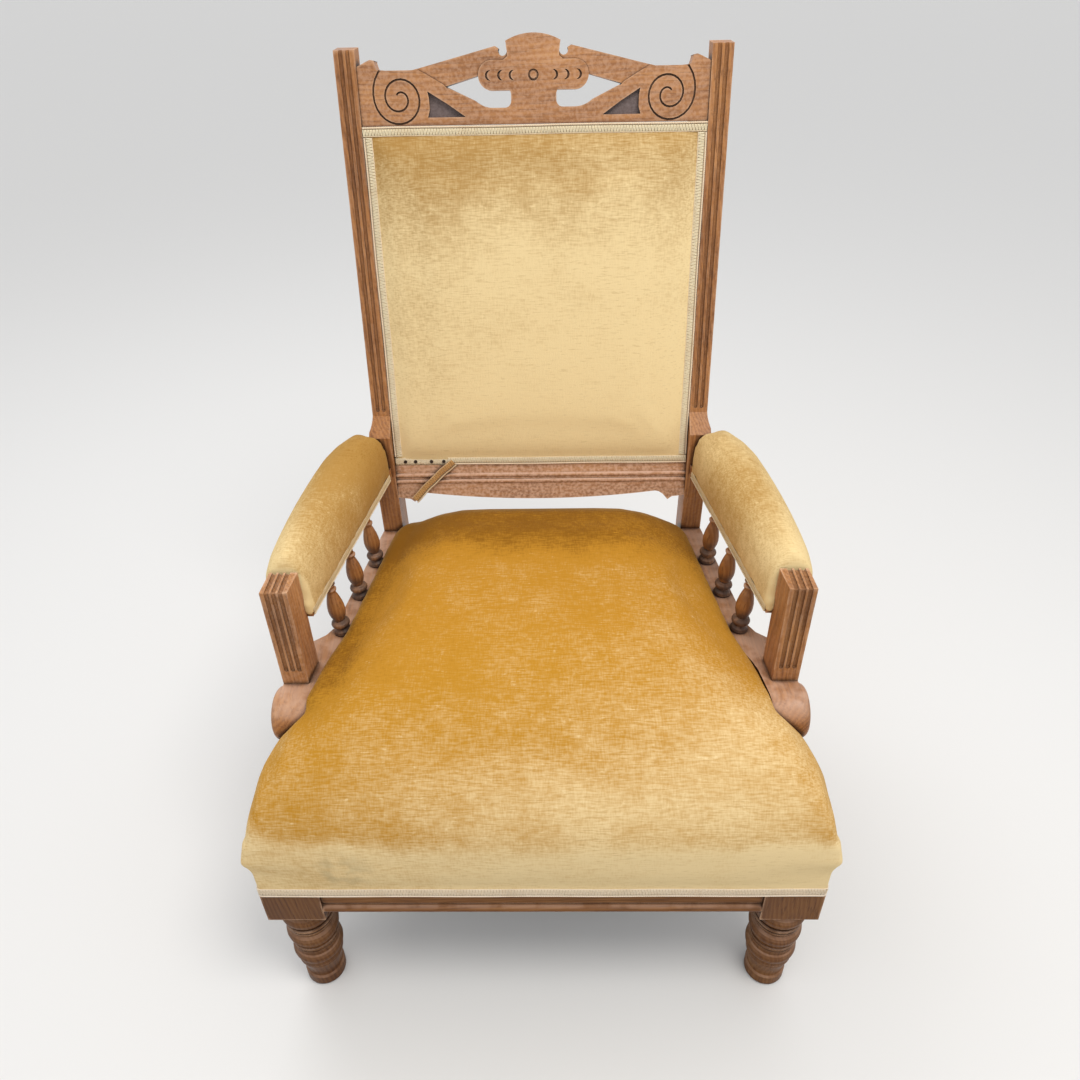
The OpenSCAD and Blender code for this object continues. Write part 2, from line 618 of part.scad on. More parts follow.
module spring() {
    steps = 8 * spring_turns;
    path = [for (i = [0:steps]) spring_point(i / steps)];
    rings = [for (i = [0:steps]) let (p = path[i], q = [p[0], p[1], 0] / norm([p[0], p[1]]))
        [for (k = [0:5]) p + wire_r * (cos(60 * k) * q + sin(60 * k) * [0, 0, 1])]];
    sides = [for (i = [0:steps - 1], k = [0:5])
        let (a = i * 6 + k, b = i * 6 + (k + 1) % 6) each [[a, b + 6, b], [a, a + 6, b + 6]]];
    start = [for (k = [1:4]) [0, k, k + 1]];
    end = [for (k = [1:4]) [steps * 6, steps * 6 + k + 1, steps * 6 + k]];
    polyhedron([for (ring = rings) each ring], concat(sides, start, end));
}
module seat_springs() color(steel) centred() for (row = [0:2], k = [-1:1])
    translate([k * (tent_x(spring_rows[row]) - 2 * spring_end), spring_rows[row], 0]) spring();

// The hessian: a flat flange on the rails and a low tent over the springs
tent_front = rail_t + rebate + 10;
tent_rear = seat_d - 16;
tent_slope = 8;
tent_top = spring_top + soft_gap;
function tent_x(y) = mix(post_in - 33, block_in - 14, (tent_rear - y) / (tent_rear - tent_front));
function tent_top_x(y) = mix(tent_x(tent_rear), tent_x(tent_front),
    (tent_rear - tent_slope - y) / (tent_rear - tent_front - 2 * tent_slope)) - tent_slope;
function tent_half(grow, slope) = [[tent_x(tent_rear) + grow - slope, tent_rear + grow - slope],
    [tent_x(tent_front) + grow - slope, tent_front - grow + slope]];
flange_half = [[post_in - 4, seat_d + 10], [block_in + 31, 6]];
module seat_hessian() color(hessian) centred() skin([
    mirrored_ring(tent_half(-cloth_t, tent_slope), tent_top),
    mirrored_ring(tent_half(-cloth_t, 0), rail_top),
    mirrored_ring(flange_half, rail_top),
    mirrored_ring(flange_half, rail_top + cloth_t),
    mirrored_ring(tent_half(0, 0), rail_top + cloth_t),
    mirrored_ring(tent_half(0, tent_slope), tent_top + cloth_t)]);

// Seat pad: a domed form, full in front of the arms and let in between them
nose_front = nose_y - nose_r;
corner_r = 7;
function seat_line(y) = side_x(y) + rebate + seat_bulge;
function near(a, b) = pow(pow(max(0.01, a), -3) + pow(max(0.01, b), -3), -1 / 3);
function dome(d) = let (t = max(0, 1 - max(0, d) / dome_run))
    roll_z + 10 + (crown_z - roll_z - 10) * pow(1 - pow(t, dome_power), 1 / dome_power);
// The sides of the dome stand higher towards the rear posts, and its rear edge rolls over
function rear_lift(y) = 36 * pow(max(0, (y - 120) / 350), 2);
function rear_fall(y) = 0.1 * pow(max(0, y - pad_back + 67), 1.4) + 0.12 * pow(max(0, y - pad_back + 12), 2);
function pad_top(x, y) = dome(near(y - pad_front, side_pull * (seat_line(y) - x) + rear_lift(y)))
    - rear_fall(y);
function pad_half(y) = let (d = y - pad_front, wide = y < nose_front - 0.4,
        edge = wide ? seat_line(y) - corner_r * (1 - sqrt(1 - pow(max(0, 1 - d / corner_r), 2)))
            : (y > rail_end ? min(base_in(y), post_in) : base_in(y)) - soft_gap,
        low = pad_low + 24 * min(1, max(0, -y / 7)),
        foot = wide ? min(edge, side_x(y) + rebate) : edge,
        up = max(0, min(1, (tent_rear + soft_gap - y) / tent_slope, (y - tent_front + soft_gap) / tent_slope)),
        roof = mix(low, tent_top + cloth_t + soft_gap, up), wall = tent_x(y) + soft_gap,
        arch = y > pad_back - 1 || y < pad_front + 1 ? 1 : 0)
    concat([for (share = [0.16, 0.38, 0.57, 0.73, 0.85, 0.93, 0.975, 1])
            [edge * share, pad_top(edge * share, y) + arch * (3 - 5 * share * share)]],
        [[edge, max(roll_z, low + 6)], [mix(foot, edge, 0.75), max(roll_z - 12, low + 3)], [foot, low],
            [wall, low + arch], [tent_top_x(y) + soft_gap, roof + 1.6 * arch], [wall * 0.3, roof + 2.4 * arch]]);
function section(half, y) = concat([for (p = half) [p[0], y, p[1]]],
    [for (i = [len(half) - 1:-1:0]) [-half[i][0], y, half[i][1]]]);
pad_stations = concat([for (d = [0, 3, 10, 25]) pad_back - d], [tent_rear + 0.6],
    [for (k = [0:5]) mix(tent_rear - tent_slope + 0.3, head_in_y, k / 6)],
    [for (d = [1, 17, 35, 51, 65]) head_in_y - d],
    [nose_front + 41.5, nose_front + 19.5, nose_front - 0.3, nose_front - 0.5, leg_block + 22, leg_block],
    [tent_front + tent_slope - 0.3, tent_front - 0.6, 24, 12, 5, 0, -2.5, -5, pad_front]);
module seat_pad() color(velvet) centred()
    skin([for (y = pad_stations) section(pad_half(y), y)]);
module border_plan(gap, t, back) difference() {
    polygon([[-front_half + rebate - gap - t, rebate - gap - t], [front_half - rebate + gap + t, rebate - gap - t],
        [front_half - rebate + gap + t, leg_block], [side_x(back) + gap + t, back],
        [-side_x(back) - gap - t, back], [-front_half + rebate - gap - t, leg_block]]);
    polygon([[-front_half + rebate - gap, rebate - gap], [front_half - rebate + gap, rebate - gap],
        [front_half - rebate + gap, leg_block], [side_x(back) + gap, back + 1],
        [-side_x(back) - gap, back + 1], [-front_half + rebate - gap, leg_block]]);
}
module seat_front_border() color(velvet) centred() translate([0, 0, cover_bottom])
    linear_extrude(pad_low - soft_gap - cover_bottom)
    border_plan(soft_gap, rebate - soft_gap, nose_front);
module seat_gimp() color(cream) centred() translate([0, 0, cover_bottom])
    linear_extrude(seat_gimp_w) border_plan(rebate + soft_gap, gimp_t, rail_end - 4);
// Soft border below each base rail, outside its riser
side_steps = [for (i = [0:8]) mix(rail_end - 1, nose_front + 0.5, i / 8)];
function border_lines(swell) = [for (y = side_steps) [side_x(y) + rebate + swell * seat_bulge, y]];
function border_top(set_in) = [for (y = side_steps) [min(side_x(y) + rebate, base_out(y) + 2) - set_in, y]];
function riser_out(y) = mix(post_in + 2.5, base_in(riser_front) + 2.4, (rail_end - y) / (rail_end - riser_front))
    + riser_t;
function border_inner(on_rail) = [for (y = side_steps) [(on_rail ? side_x(y) : riser_out(y)) + soft_gap, y]];
base_bottom = base_top - 2 * nose_r;
module seat_side(side) color(velvet) centred() on_side(side) skin([
    strip_ring(border_lines(0), border_inner(true), cover_bottom),
    strip_ring(border_lines(0.2), border_inner(true), rail_top),
    strip_ring(border_lines(0.3), border_inner(false), rail_top + soft_gap),
    strip_ring(border_lines(0.9), border_inner(false), rail_top + 16),
    strip_ring(border_lines(1), border_inner(false), roll_z),
    strip_ring(border_lines(0.8), border_inner(false), roll_z + 16),
    strip_ring(border_top(0), border_inner(false), base_bottom - 8),
    strip_ring(border_top(6), border_inner(false), base_bottom - 1)]);

// Arm supports: a riser on the seat rail, the base rail with its round nose, and the post

module arm_riser(side) color(deal) centred() on_side(side) difference() {
    translate([0, 0, rail_top]) linear_extrude(base_bottom - rail_top)
        polygon([[riser_out(riser_front) - riser_t, riser_front], [riser_out(riser_front), riser_front],
            [riser_out(rail_end + 8), rail_end + 8], [riser_out(rail_end + 8) - riser_t, rail_end + 8]]);
    across(post_in - 10, post_out + 10) post_outline();
}
module base_rail_tenon(gap) translate([post_in + 7 - gap, rail_end - 4, base_top - 52 - gap])
    cube([12 + 2 * gap, 24 + gap, 40 + 2 * gap]);
module arm_post_tenon(gap)
    translate([arm_post_out - arm_post_w / 2, arm_post_y + arm_post_d / 2, base_top - 30 - gap])
    cylinder(r = 8 + gap, h = 31 + gap, $fn = 48);
module base_plan() {
    ys = [for (i = [0:28]) mix(rail_end + 14, nose_y - nose_r - 1, i / 28)];
    polygon(concat([for (y = ys) [base_out(y), y]], [for (i = [28:-1:0]) [base_in(ys[i]), ys[i]]]));
}
// The nose stands out past the post as a turned knob with a rounded edge
module base_nose() translate([arm_post_out - 2, nose_y, base_top - nose_r]) rotate([0, 90, 0])
    rotate_extrude($fn = 96) let (long = nose_proud + 2, r = nose_r - 0.5, edge = long - 2.5)
        polygon(concat([[0, 0], [r, 0]], arc([r - edge, long - edge], edge, 0, 90, 8), [[0, long]]));
module arm_base_rail(side) color(oak) centred() on_side(side) difference() {
    union() {
        base_rail_tenon(0);
        base_nose();
        difference() {
            intersection() {
                translate([0, 0, base_bottom]) linear_extrude(2 * nose_r) base_plan();
                across(post_in - 10, nose_out + 10) {
                    translate([nose_y, base_top - nose_r]) circle(r = nose_r, $fn = 96);
                    translate([nose_y, base_bottom]) square([rail_end + 20 - nose_y, 2 * nose_r]);
                }
            }
            across(post_in - 10, post_out + 20) post_outline();
        }
    }
    arm_post_tenon(joint_gap);
    for (i = [0:2]) spindle_place(i) spindle_tenons(i, joint_gap);
}
module arm_post(side) color(oak) centred() on_side(side) difference() {
    union() {
        translate([arm_post_out, arm_post_y, base_top]) linear_extrude(arm_post_top - base_top)
            polygon([[0, 0], [-arm_skew / 2, arm_post_d], [-arm_post_w - arm_skew, arm_post_d],
                [-arm_post_w, 0]]);
        arm_post_tenon(0);
    }
    for (k = [-1:1]) translate([arm_post_out - arm_post_w / 2 + k * arm_post_w / 4, arm_post_y, 0]) {
        translate([0, 0, base_top + 22]) cylinder(r = 2.6, h = arm_post_top, $fn = 24);
        translate([0, 0, base_top + 22]) sphere(r = 2.6, $fn = 24);
        translate([0, -1, arm_post_top]) rotate([-90, 0, 0]) cylinder(r = 2.6, h = arm_post_d + 2, $fn = 24);
    }
    arm_rail_front_tenon(joint_gap);
}

// Turned spindles between the base rail and the arm rail

function spindle_x(i) = base_line(spindle_stations[i]) + base_w / 2;
function spindle_h(i) = arm_under + (spindle_stations[i] - arm_front) * tan(arm_rise) - base_top;
module spindle_place(i) translate([spindle_x(i), spindle_stations[i], base_top])
    rotate([0, atan(spindle_lean / spindle_h(i)), 0]) children();
module spindle_tenons(i, gap) translate([0, 0, -spindle_seat - gap])
    cylinder(r = spindle_tenon_r + gap, h = spindle_h(i) + 2 * spindle_seat + 2 * gap, $fn = 32);
module spindle_outline(h) {
    r = spindle_r;
    polygon(concat([[0, -2], [r - 1.8, -2], [r - 1.2, 2], [r - 2.2, 5], [r - 5, 8], [r - 6, 10.5]],
        arc([r - 5.4, 15], 4.6, -70, 80, 6),
        [[r - 6, 20.5], [r - 4.6, 23], [r - 3.2, 27], [r - 2, 32], [r - 1.6, 37], [r - 2, 43],
            [r - 3.2, 50], [r - 5, 57], [r - 6.6, 62], [r - 7.4, 64.5], [r - 5.4, 66.5], [r - 5, 68.5],
            [r - 7.2, 70.5], [r - 6.8, h - 3], [r - 5, h - 1], [r - 5, h + 2], [0, h + 2]]));
}
module spindle(side, i) color(old_oak) centred() on_side(side) {
    difference() {
        spindle_place(i) rotate_extrude($fn = 64) spindle_outline(spindle_h(i));
        translate([0, 0, base_top - 10]) cube([front_half, seat_d, 10.05]);
        on_arm() translate([0, -10, -0.05]) cube([front_half, seat_d, 20]);
    }
    spindle_place(i) spindle_tenons(i, 0);
}

// Arm rails and their pads

module on_arm() translate([0, arm_front, arm_under]) rotate([arm_rise, 0, 0]) children();
module arm_rail_rear_tenon(gap) on_arm() translate([post_in + 7 - gap, arm_len - 6, 4 - gap])
    cube([14 + 2 * gap, 26 + gap, arm_rail_t - 8 + 2 * gap]);
module arm_rail_front_tenon(gap) on_arm() translate([arm_post_out - 22 - gap, -14 - gap, 4 - gap])
    cube([14 + 2 * gap, 18 + gap, arm_rail_t - 8 + 2 * gap]);
// Outline of the arm seen from above. It ends on the post, and past it on the outer side
function arm_start(pull, h) = soft_gap + pull * 0.25 + h * tan(arm_rise);
function arm_outer(inset, pull, h) = [for (k = [0:9]) let (end = arm_len + arm_past - pull,
        s = mix(end, arm_start(pull, h), k / 9))
    [arm_out(s) - inset - (k == 0 ? 16 : k == 1 ? 4 : 0) - (k == 9 ? 3 : 0), s]];
function arm_inner(inset, pull, h) = let (gap = soft_gap, end = arm_len + arm_past - pull,
        stop = arm_len + h * tan(arm_rise) - max(0, pull - arm_past + 9))
    concat([[post_out + 14 + gap + inset * 0.25, end], [post_out + gap + inset * 0.25, end - 7],
            [post_out + gap + inset * 0.25, stop], [min(post_out, arm_in(stop) + inset + 4), stop]],
        [for (k = [1:6]) let (s = mix(stop - 3, arm_start(pull, h), k / 6))
            [arm_in(s) + inset + (k == 6 ? 4 : 0), s]]);
module arm_rail(side) color(oak) centred() on_side(side) difference() {
    union() {
        arm_rail_rear_tenon(0);
        arm_rail_front_tenon(0);
        difference() {
            on_arm() linear_extrude(arm_rail_t) polygon(concat(
                [for (k = [0:10]) let (s = mix(arm_len + arm_past - 14, 0, k / 10)) [arm_out(s) - rail_outset, s]],
                [for (k = [0:10]) let (s = mix(0, arm_len + arm_past - 14, k / 10)) [arm_in(s) + rail_inset, s]]));
            translate([0, arm_front - 20, arm_under - 20]) cube([arm_post_out + 20, 20, 90]);
            across(post_in - 40, post_out) post_outline();
        }
    }
    for (i = [0:2]) spindle_place(i) spindle_tenons(i, joint_gap);
}
// Each ring of the pad: share of its height, set in on the outer side, pulled in at the ends, set in inside
arm_rings = [[0, 5, 0, -2.5], [0.12, 2, 0, -3.5], [0.29, 0.6, 0, -3.2], [0.484, 0, 3, -1.5], [0.66, 2.5, 10, 2],
    [0.806, 8, 20, 8], [0.911, 16, 34, 16], [1, 27, 54, 27]];
module arm_pad(side) color(velvet) centred() on_side(side) on_arm()
    skin([for (ring = arm_rings) let (h = arm_rail_t + mix(soft_gap, arm_pad_h, ring[0]))
        strip_ring(arm_outer(ring[1], ring[2], h), arm_inner(ring[3], ring[2], h), h)]);
module arm_gimp(side) color(cream) centred() on_side(side) on_arm()
    translate([0, 0, 1]) linear_extrude(gimp_w) {
        polygon(concat([for (k = [0:8]) let (s = mix(1, arm_len + 20, k / 8)) [arm_out(s) - rail_outset + 0.1, s]],
            [for (k = [8:-1:0]) let (s = mix(1, arm_len + 20, k / 8)) [arm_out(s) - rail_outset + 0.1 + gimp_t, s]]));
        polygon([[arm_in(1) + rail_inset - 0.1, 1], [arm_in(1) + rail_inset - 0.1 - gimp_t, 1],
            [arm_in(arm_len - 4) + rail_inset - 0.1 - gimp_t, arm_len - 4],
            [arm_in(arm_len - 4) + rail_inset - 0.1, arm_len - 4]]);
    }

rear_post(-1);  // rear_post_left
rear_post(1);  // rear_post_right
crest_rail();
back_lower_rail();
back_tacking_strip(-1);  // back_tacking_strip_left
back_tacking_strip(1);  // back_tacking_strip_right
back_webbing();
back_hessian();
back_pad();
back_gimp_top();
back_gimp_side(-1);  // back_gimp_left
back_gimp_side(1);  // back_gimp_right
back_gimp_bottom();
back_gimp_loose_end();
back_tacks();
back_outside_cover();
back_outside_gimp();
front_leg(-1);  // front_leg_left
front_leg(1);  // front_leg_right
seat_rail_front();
seat_rail_side(-1);  // seat_rail_left
seat_rail_side(1);  // seat_rail_right
seat_rail_back();
corner_blocks();
corner_screws();
seat_webbing();
seat_springs();
seat_hessian();
seat_pad();
seat_front_border();
seat_side(-1);  // seat_side_left
seat_side(1);  // seat_side_right
seat_gimp();
seat_dust_cover();
arm_riser(-1);  // arm_riser_left
arm_riser(1);  // arm_riser_right
arm_base_rail(-1);  // arm_base_rail_left
arm_base_rail(1);  // arm_base_rail_right
arm_post(-1);  // arm_post_left
arm_post(1);  // arm_post_right
spindle(-1, 0);  // spindle_left_front
spindle(-1, 1);  // spindle_left_middle
spindle(-1, 2);  // spindle_left_rear
spindle(1, 0);  // spindle_right_front
spindle(1, 1);  // spindle_right_middle
spindle(1, 2);  // spindle_right_rear
arm_rail(-1);  // arm_rail_left
arm_rail(1);  // arm_rail_right
arm_pad(-1);  // arm_pad_left
arm_pad(1);  // arm_pad_right
arm_gimp(-1);  // arm_gimp_left
arm_gimp(1);  // arm_gimp_right
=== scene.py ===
import bmesh
import bpy
import math
import random
from mathutils import Matrix, Vector


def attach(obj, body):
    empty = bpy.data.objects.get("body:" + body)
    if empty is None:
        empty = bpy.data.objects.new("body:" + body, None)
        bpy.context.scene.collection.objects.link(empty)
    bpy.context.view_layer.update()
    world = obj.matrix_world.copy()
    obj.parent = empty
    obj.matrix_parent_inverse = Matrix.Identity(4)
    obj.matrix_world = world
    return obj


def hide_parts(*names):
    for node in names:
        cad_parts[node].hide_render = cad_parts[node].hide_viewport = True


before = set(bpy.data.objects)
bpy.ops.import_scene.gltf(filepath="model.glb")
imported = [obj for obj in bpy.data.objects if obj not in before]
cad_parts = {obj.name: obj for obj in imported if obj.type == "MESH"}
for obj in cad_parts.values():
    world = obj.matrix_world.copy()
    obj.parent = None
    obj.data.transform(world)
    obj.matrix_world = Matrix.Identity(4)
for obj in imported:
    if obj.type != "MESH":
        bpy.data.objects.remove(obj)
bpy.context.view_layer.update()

scene = bpy.context.scene

# Where the chair is seen from: a phone held at chest height a step in front of the seat,
# tipped down at it, with the short lens of such a phone.
STAND = Vector((0.021, -0.8237, 1.112))
TIPPED, TURNED, ROLLED = (math.radians(a) for a in (35.97, 1.35, -1.32))
right = Vector((math.cos(TURNED), math.sin(TURNED), 0))
ahead = Vector((-math.sin(TURNED), math.cos(TURNED), 0))
up = Vector((0, 0, 1))
look = ahead * math.cos(TIPPED) - up * math.sin(TIPPED)
top = ahead * math.sin(TIPPED) + up * math.cos(TIPPED)
side = right * math.cos(ROLLED) + top * math.sin(ROLLED)
top = top * math.cos(ROLLED) - right * math.sin(ROLLED)
lens = bpy.data.cameras.new("phone")
lens.sensor_width, lens.lens = 36, 28.15
lens.clip_start, lens.clip_end = 0.02, 30
phone = bpy.data.objects.new("phone", lens)
phone.matrix_world = Matrix.Translation(STAND) @ Matrix((side, top, -look)).transposed().to_4x4()
scene.collection.objects.link(phone)
scene.camera = phone
scene.view_settings.view_transform = "Standard"


# The room: a plain pale floor, two soft lamps overhead and an even pale sky. A first
# helper puts shader nodes down and wires them in one call.
def put(tree, kind, settings=None, **inputs):
    node = tree.nodes.new("ShaderNode" + kind)
    for name, value in (settings or {}).items():
        setattr(node, name, value)
    for name, value in inputs.items():
        socket = node.inputs[int(name[1:])] if name[0] == "i" and name[1:].isdigit() \
            else node.inputs[name.replace("_", " ")]
        if isinstance(value, bpy.types.NodeSocket):
            tree.links.new(value, socket)
        else:
            socket.default_value = value
    return node


def place_on(tree):
    return put(tree, "TexCoord").outputs["Object"]


def noise(tree, where, scale, detail):
    return put(tree, "TexNoise", Vector=where, Scale=scale, Detail=detail)


def squeezed(tree, where, by):
    return put(tree, "VectorMath", {"operation": "MULTIPLY"}, i0=where, i1=by).outputs[0]


def blank(name):
    mat = bpy.data.materials.new(name)
    mat.use_nodes = True
    mat.node_tree.nodes.clear()
    return mat, mat.node_tree


def finish_surface(tree, shader):
    put(tree, "OutputMaterial", Surface=shader.outputs[0])


def weigh(tree, how, a, b, clamp=False):
    return put(tree, "Math", {"operation": how, "use_clamp": clamp}, i0=a, i1=b).outputs[0]


def blend(tree, mask, a, b, how="MIX"):
    return put(tree, "Mix", {"data_type": "RGBA", "blend_type": how}, i0=mask, i6=a, i7=b).outputs[2]


def spread(tree, value, low, high, to_low=0.0, to_high=1.0):
    return put(tree, "MapRange", {"interpolation_type": "SMOOTHSTEP"}, i0=value, i1=low, i2=high,
               i3=to_low, i4=to_high).outputs[0]


floor_mat, tree = blank("pale floor")
seen = put(tree, "LightPath")
shown = weigh(tree, "MAXIMUM", seen.outputs["Is Camera Ray"], seen.outputs["Is Glossy Ray"])
lino = blend(tree, shown, (0.55, 0.54, 0.52, 1), (0.80, 0.79, 0.77, 1))
finish_surface(tree, put(tree, "BsdfPrincipled", Base_Color=lino, Roughness=0.7, Specular_IOR_Level=0.2))
bm = bmesh.new()
bmesh.ops.create_grid(bm, x_segments=1, y_segments=1, size=70)
floor_mesh = bpy.data.meshes.new("floor")
bm.to_mesh(floor_mesh)
floor_mesh.materials.append(floor_mat)
floor = bpy.data.objects.new("floor", floor_mesh)
scene.collection.objects.link(floor)

world = bpy.data.worlds.new("room")
scene.world = world
world.use_nodes = True
sky = world.node_tree
sky.nodes.clear()
seen = put(sky, "LightPath")
shown = weigh(sky, "MAXIMUM", seen.outputs["Is Camera Ray"], seen.outputs["Is Transmission Ray"])
even = put(sky, "Background", Color=(0.97, 0.98, 1, 1), Strength=0.83)
white = put(sky, "Background", Color=(0.85, 0.84, 0.82, 1), Strength=1.0)
mixed = put(sky, "MixShader", i0=shown, i1=even.outputs[0], i2=white.outputs[0])
put(sky, "OutputWorld", Surface=mixed.outputs[0])


def lamp(name, place, aim, wide, watts, tint):
    data = bpy.data.lights.new(name, "AREA")
    data.shape, data.size, data.energy, data.color = "DISK", wide, watts, tint
    obj = bpy.data.objects.new(name, data)
    obj.location = place
    obj.rotation_euler = (Vector(aim) - Vector(place)).to_track_quat("-Z", "Y").to_euler()
    scene.collection.objects.link(obj)


lamp("lamp overhead", (0.55, -0.75, 2.4), (0, 0.0, 0.4), 0.9, 22, (1, 0.97, 0.93))
lamp("lamp behind", (-0.9, 1.0, 2.4), (0, 0.1, 0.6), 1.4, 11, (0.95, 0.97, 1))

# Rear posts: each one length of oak from the floor to the top, sawn to its rake, grooved and
# coloured with stain, then french polished. The finish is thin on edges and black wax sits in corners,
# and the oak paints a highlight on those edges and shade in those corners.
MIDDLE_Y = 284.731


def row(x, y, z):
    """A place in millimetres: x across, y back from the front of the seat, z up from the floor."""
    return Vector((x, y - MIDDLE_Y, z)) / 1000


def group(name, takes, gives):
    tree = bpy.data.node_groups.new(name, "ShaderNodeTree")
    for label, kind, value in takes:
        socket = tree.interface.new_socket(label, in_out="INPUT", socket_type="NodeSocket" + kind)
        if value is not None:
            socket.default_value = value
    for label, kind in gives:
        tree.interface.new_socket(label, in_out="OUTPUT", socket_type="NodeSocket" + kind)
    entry, leave = tree.nodes.new("NodeGroupInput"), tree.nodes.new("NodeGroupOutput")
    return tree, entry.outputs, leave.inputs


def place_group(tree, made, **inputs):
    return put(tree, "Group", {"node_tree": made}, **inputs).outputs


oak_grain, given, result = group("oak grain", [("Vector", "Vector", None), ("Dark", "Float", 0.0)],
                                 [("Color", "Color"), ("Roughness", "Float"), ("Height", "Float")])
drift = noise(oak_grain, squeezed(oak_grain, given[0], (1, 1, 0.22)), 11.0, 3.0)
bent = put(oak_grain, "VectorMath", {"operation": "MULTIPLY_ADD"}, i0=drift.outputs["Color"],
           i1=(0.035, 0.035, 0.0), i2=given[0]).outputs[0]
rings = put(oak_grain, "TexWave", {"wave_type": "BANDS", "bands_direction": "DIAGONAL"},
            Vector=squeezed(oak_grain, bent, (1, 1, 0.05)), Scale=95.0, Distortion=3.0, Detail=4.0,
            Detail_Scale=1.8)
streak = noise(oak_grain, squeezed(oak_grain, bent, (1, 1, 0.04)), 560.0, 3.0)
pores = spread(oak_grain, streak.outputs[0], 0.53, 0.66)
broad = noise(oak_grain, squeezed(oak_grain, given[0], (1, 1, 0.4)), 26.0, 3.0)
tone = weigh(oak_grain, "MULTIPLY_ADD", rings.outputs[1], 0.15)
oak_grain.links.new(weigh(oak_grain, "MULTIPLY", broad.outputs[0], 0.75), tone.node.inputs[2])
plank = put(oak_grain, "ValToRGB", Fac=tone)
for at, colour in ((0.20, (0.180, 0.064, 0.017, 1)), (0.38, (0.315, 0.125, 0.036, 1)),
                   (0.56, (0.430, 0.185, 0.057, 1)), (0.72, (0.550, 0.268, 0.096, 1))):
    stop = plank.color_ramp.elements.new(at)
    stop.color = colour
plank.color_ramp.elements.remove(plank.color_ramp.elements[0])
plank.color_ramp.elements.remove(plank.color_ramp.elements[-1])
pored = blend(oak_grain, weigh(oak_grain, "MULTIPLY", pores, 0.5), plank.outputs[0],
              (0.12, 0.045, 0.016, 1))
# Dark stain, which on the legs and the front rail also stands for painted shade.
stained_and_shaded = blend(oak_grain, given[1], pored, (0.035, 0.013, 0.007, 1))
oak_grain.links.new(stained_and_shaded, result[0])
oak_grain.links.new(spread(oak_grain, broad.outputs[0], 0.3, 0.7, 0.34, 0.5), result[1])
oak_grain.links.new(weigh(oak_grain, "MULTIPLY_ADD", pores, -1.0), result[2])

# Masks for the oak: rubbed edges, black wax in nooks and fading on what faces up. They also paint light: a
# highlight along the edges, shade in the nooks and hollows, and a highlight on what faces up.
wear_wax_and_light, given, result = group("wear, wax and painted light", [("Reach", "Float", 0.004)],
                                 [("Wear_Highlight", "Float"), ("Wax_Shade", "Float"), ("Bleach_Highlight", "Float")])
edge = put(wear_wax_and_light, "AmbientOcclusion", {"inside": True, "only_local": True, "samples": 8},
           Distance=0.004)
nook = put(wear_wax_and_light, "AmbientOcclusion", {"samples": 8}, Distance=0.012)
rub_and_light_noise = noise(wear_wax_and_light, place_on(wear_wax_and_light), 55.0, 3.0)
wear_wax_and_light.links.new(given[0], edge.inputs["Distance"])
# Edges: the finish rubbed through, and a painted highlight along the arrises.
worn_and_highlit = weigh(wear_wax_and_light, "MULTIPLY", spread(wear_wax_and_light, edge.outputs["AO"], 0.72, 0.42),
             spread(wear_wax_and_light, rub_and_light_noise.outputs[0], 0.38, 0.62, 0.15, 1.0))
wear_wax_and_light.links.new(worn_and_highlit, result[0])
# Nooks and hollows: black wax, and painted shade there.
wear_wax_and_light.links.new(spread(wear_wax_and_light, nook.outputs["AO"], 0.82, 0.42), result[1])
up_facing = put(wear_wax_and_light, "SeparateXYZ", i0=put(wear_wax_and_light, "NewGeometry").outputs["Normal"]).outputs[2]
# What faces up: paler from real fading and from a painted highlight.
bleached_highlight = weigh(wear_wax_and_light, "MULTIPLY", spread(wear_wax_and_light, up_facing, 0.15, 0.9),
               spread(wear_wax_and_light, rub_and_light_noise.outputs[0], 0.30, 0.60, 0.35, 1.0))
wear_wax_and_light.links.new(bleached_highlight, result[2])


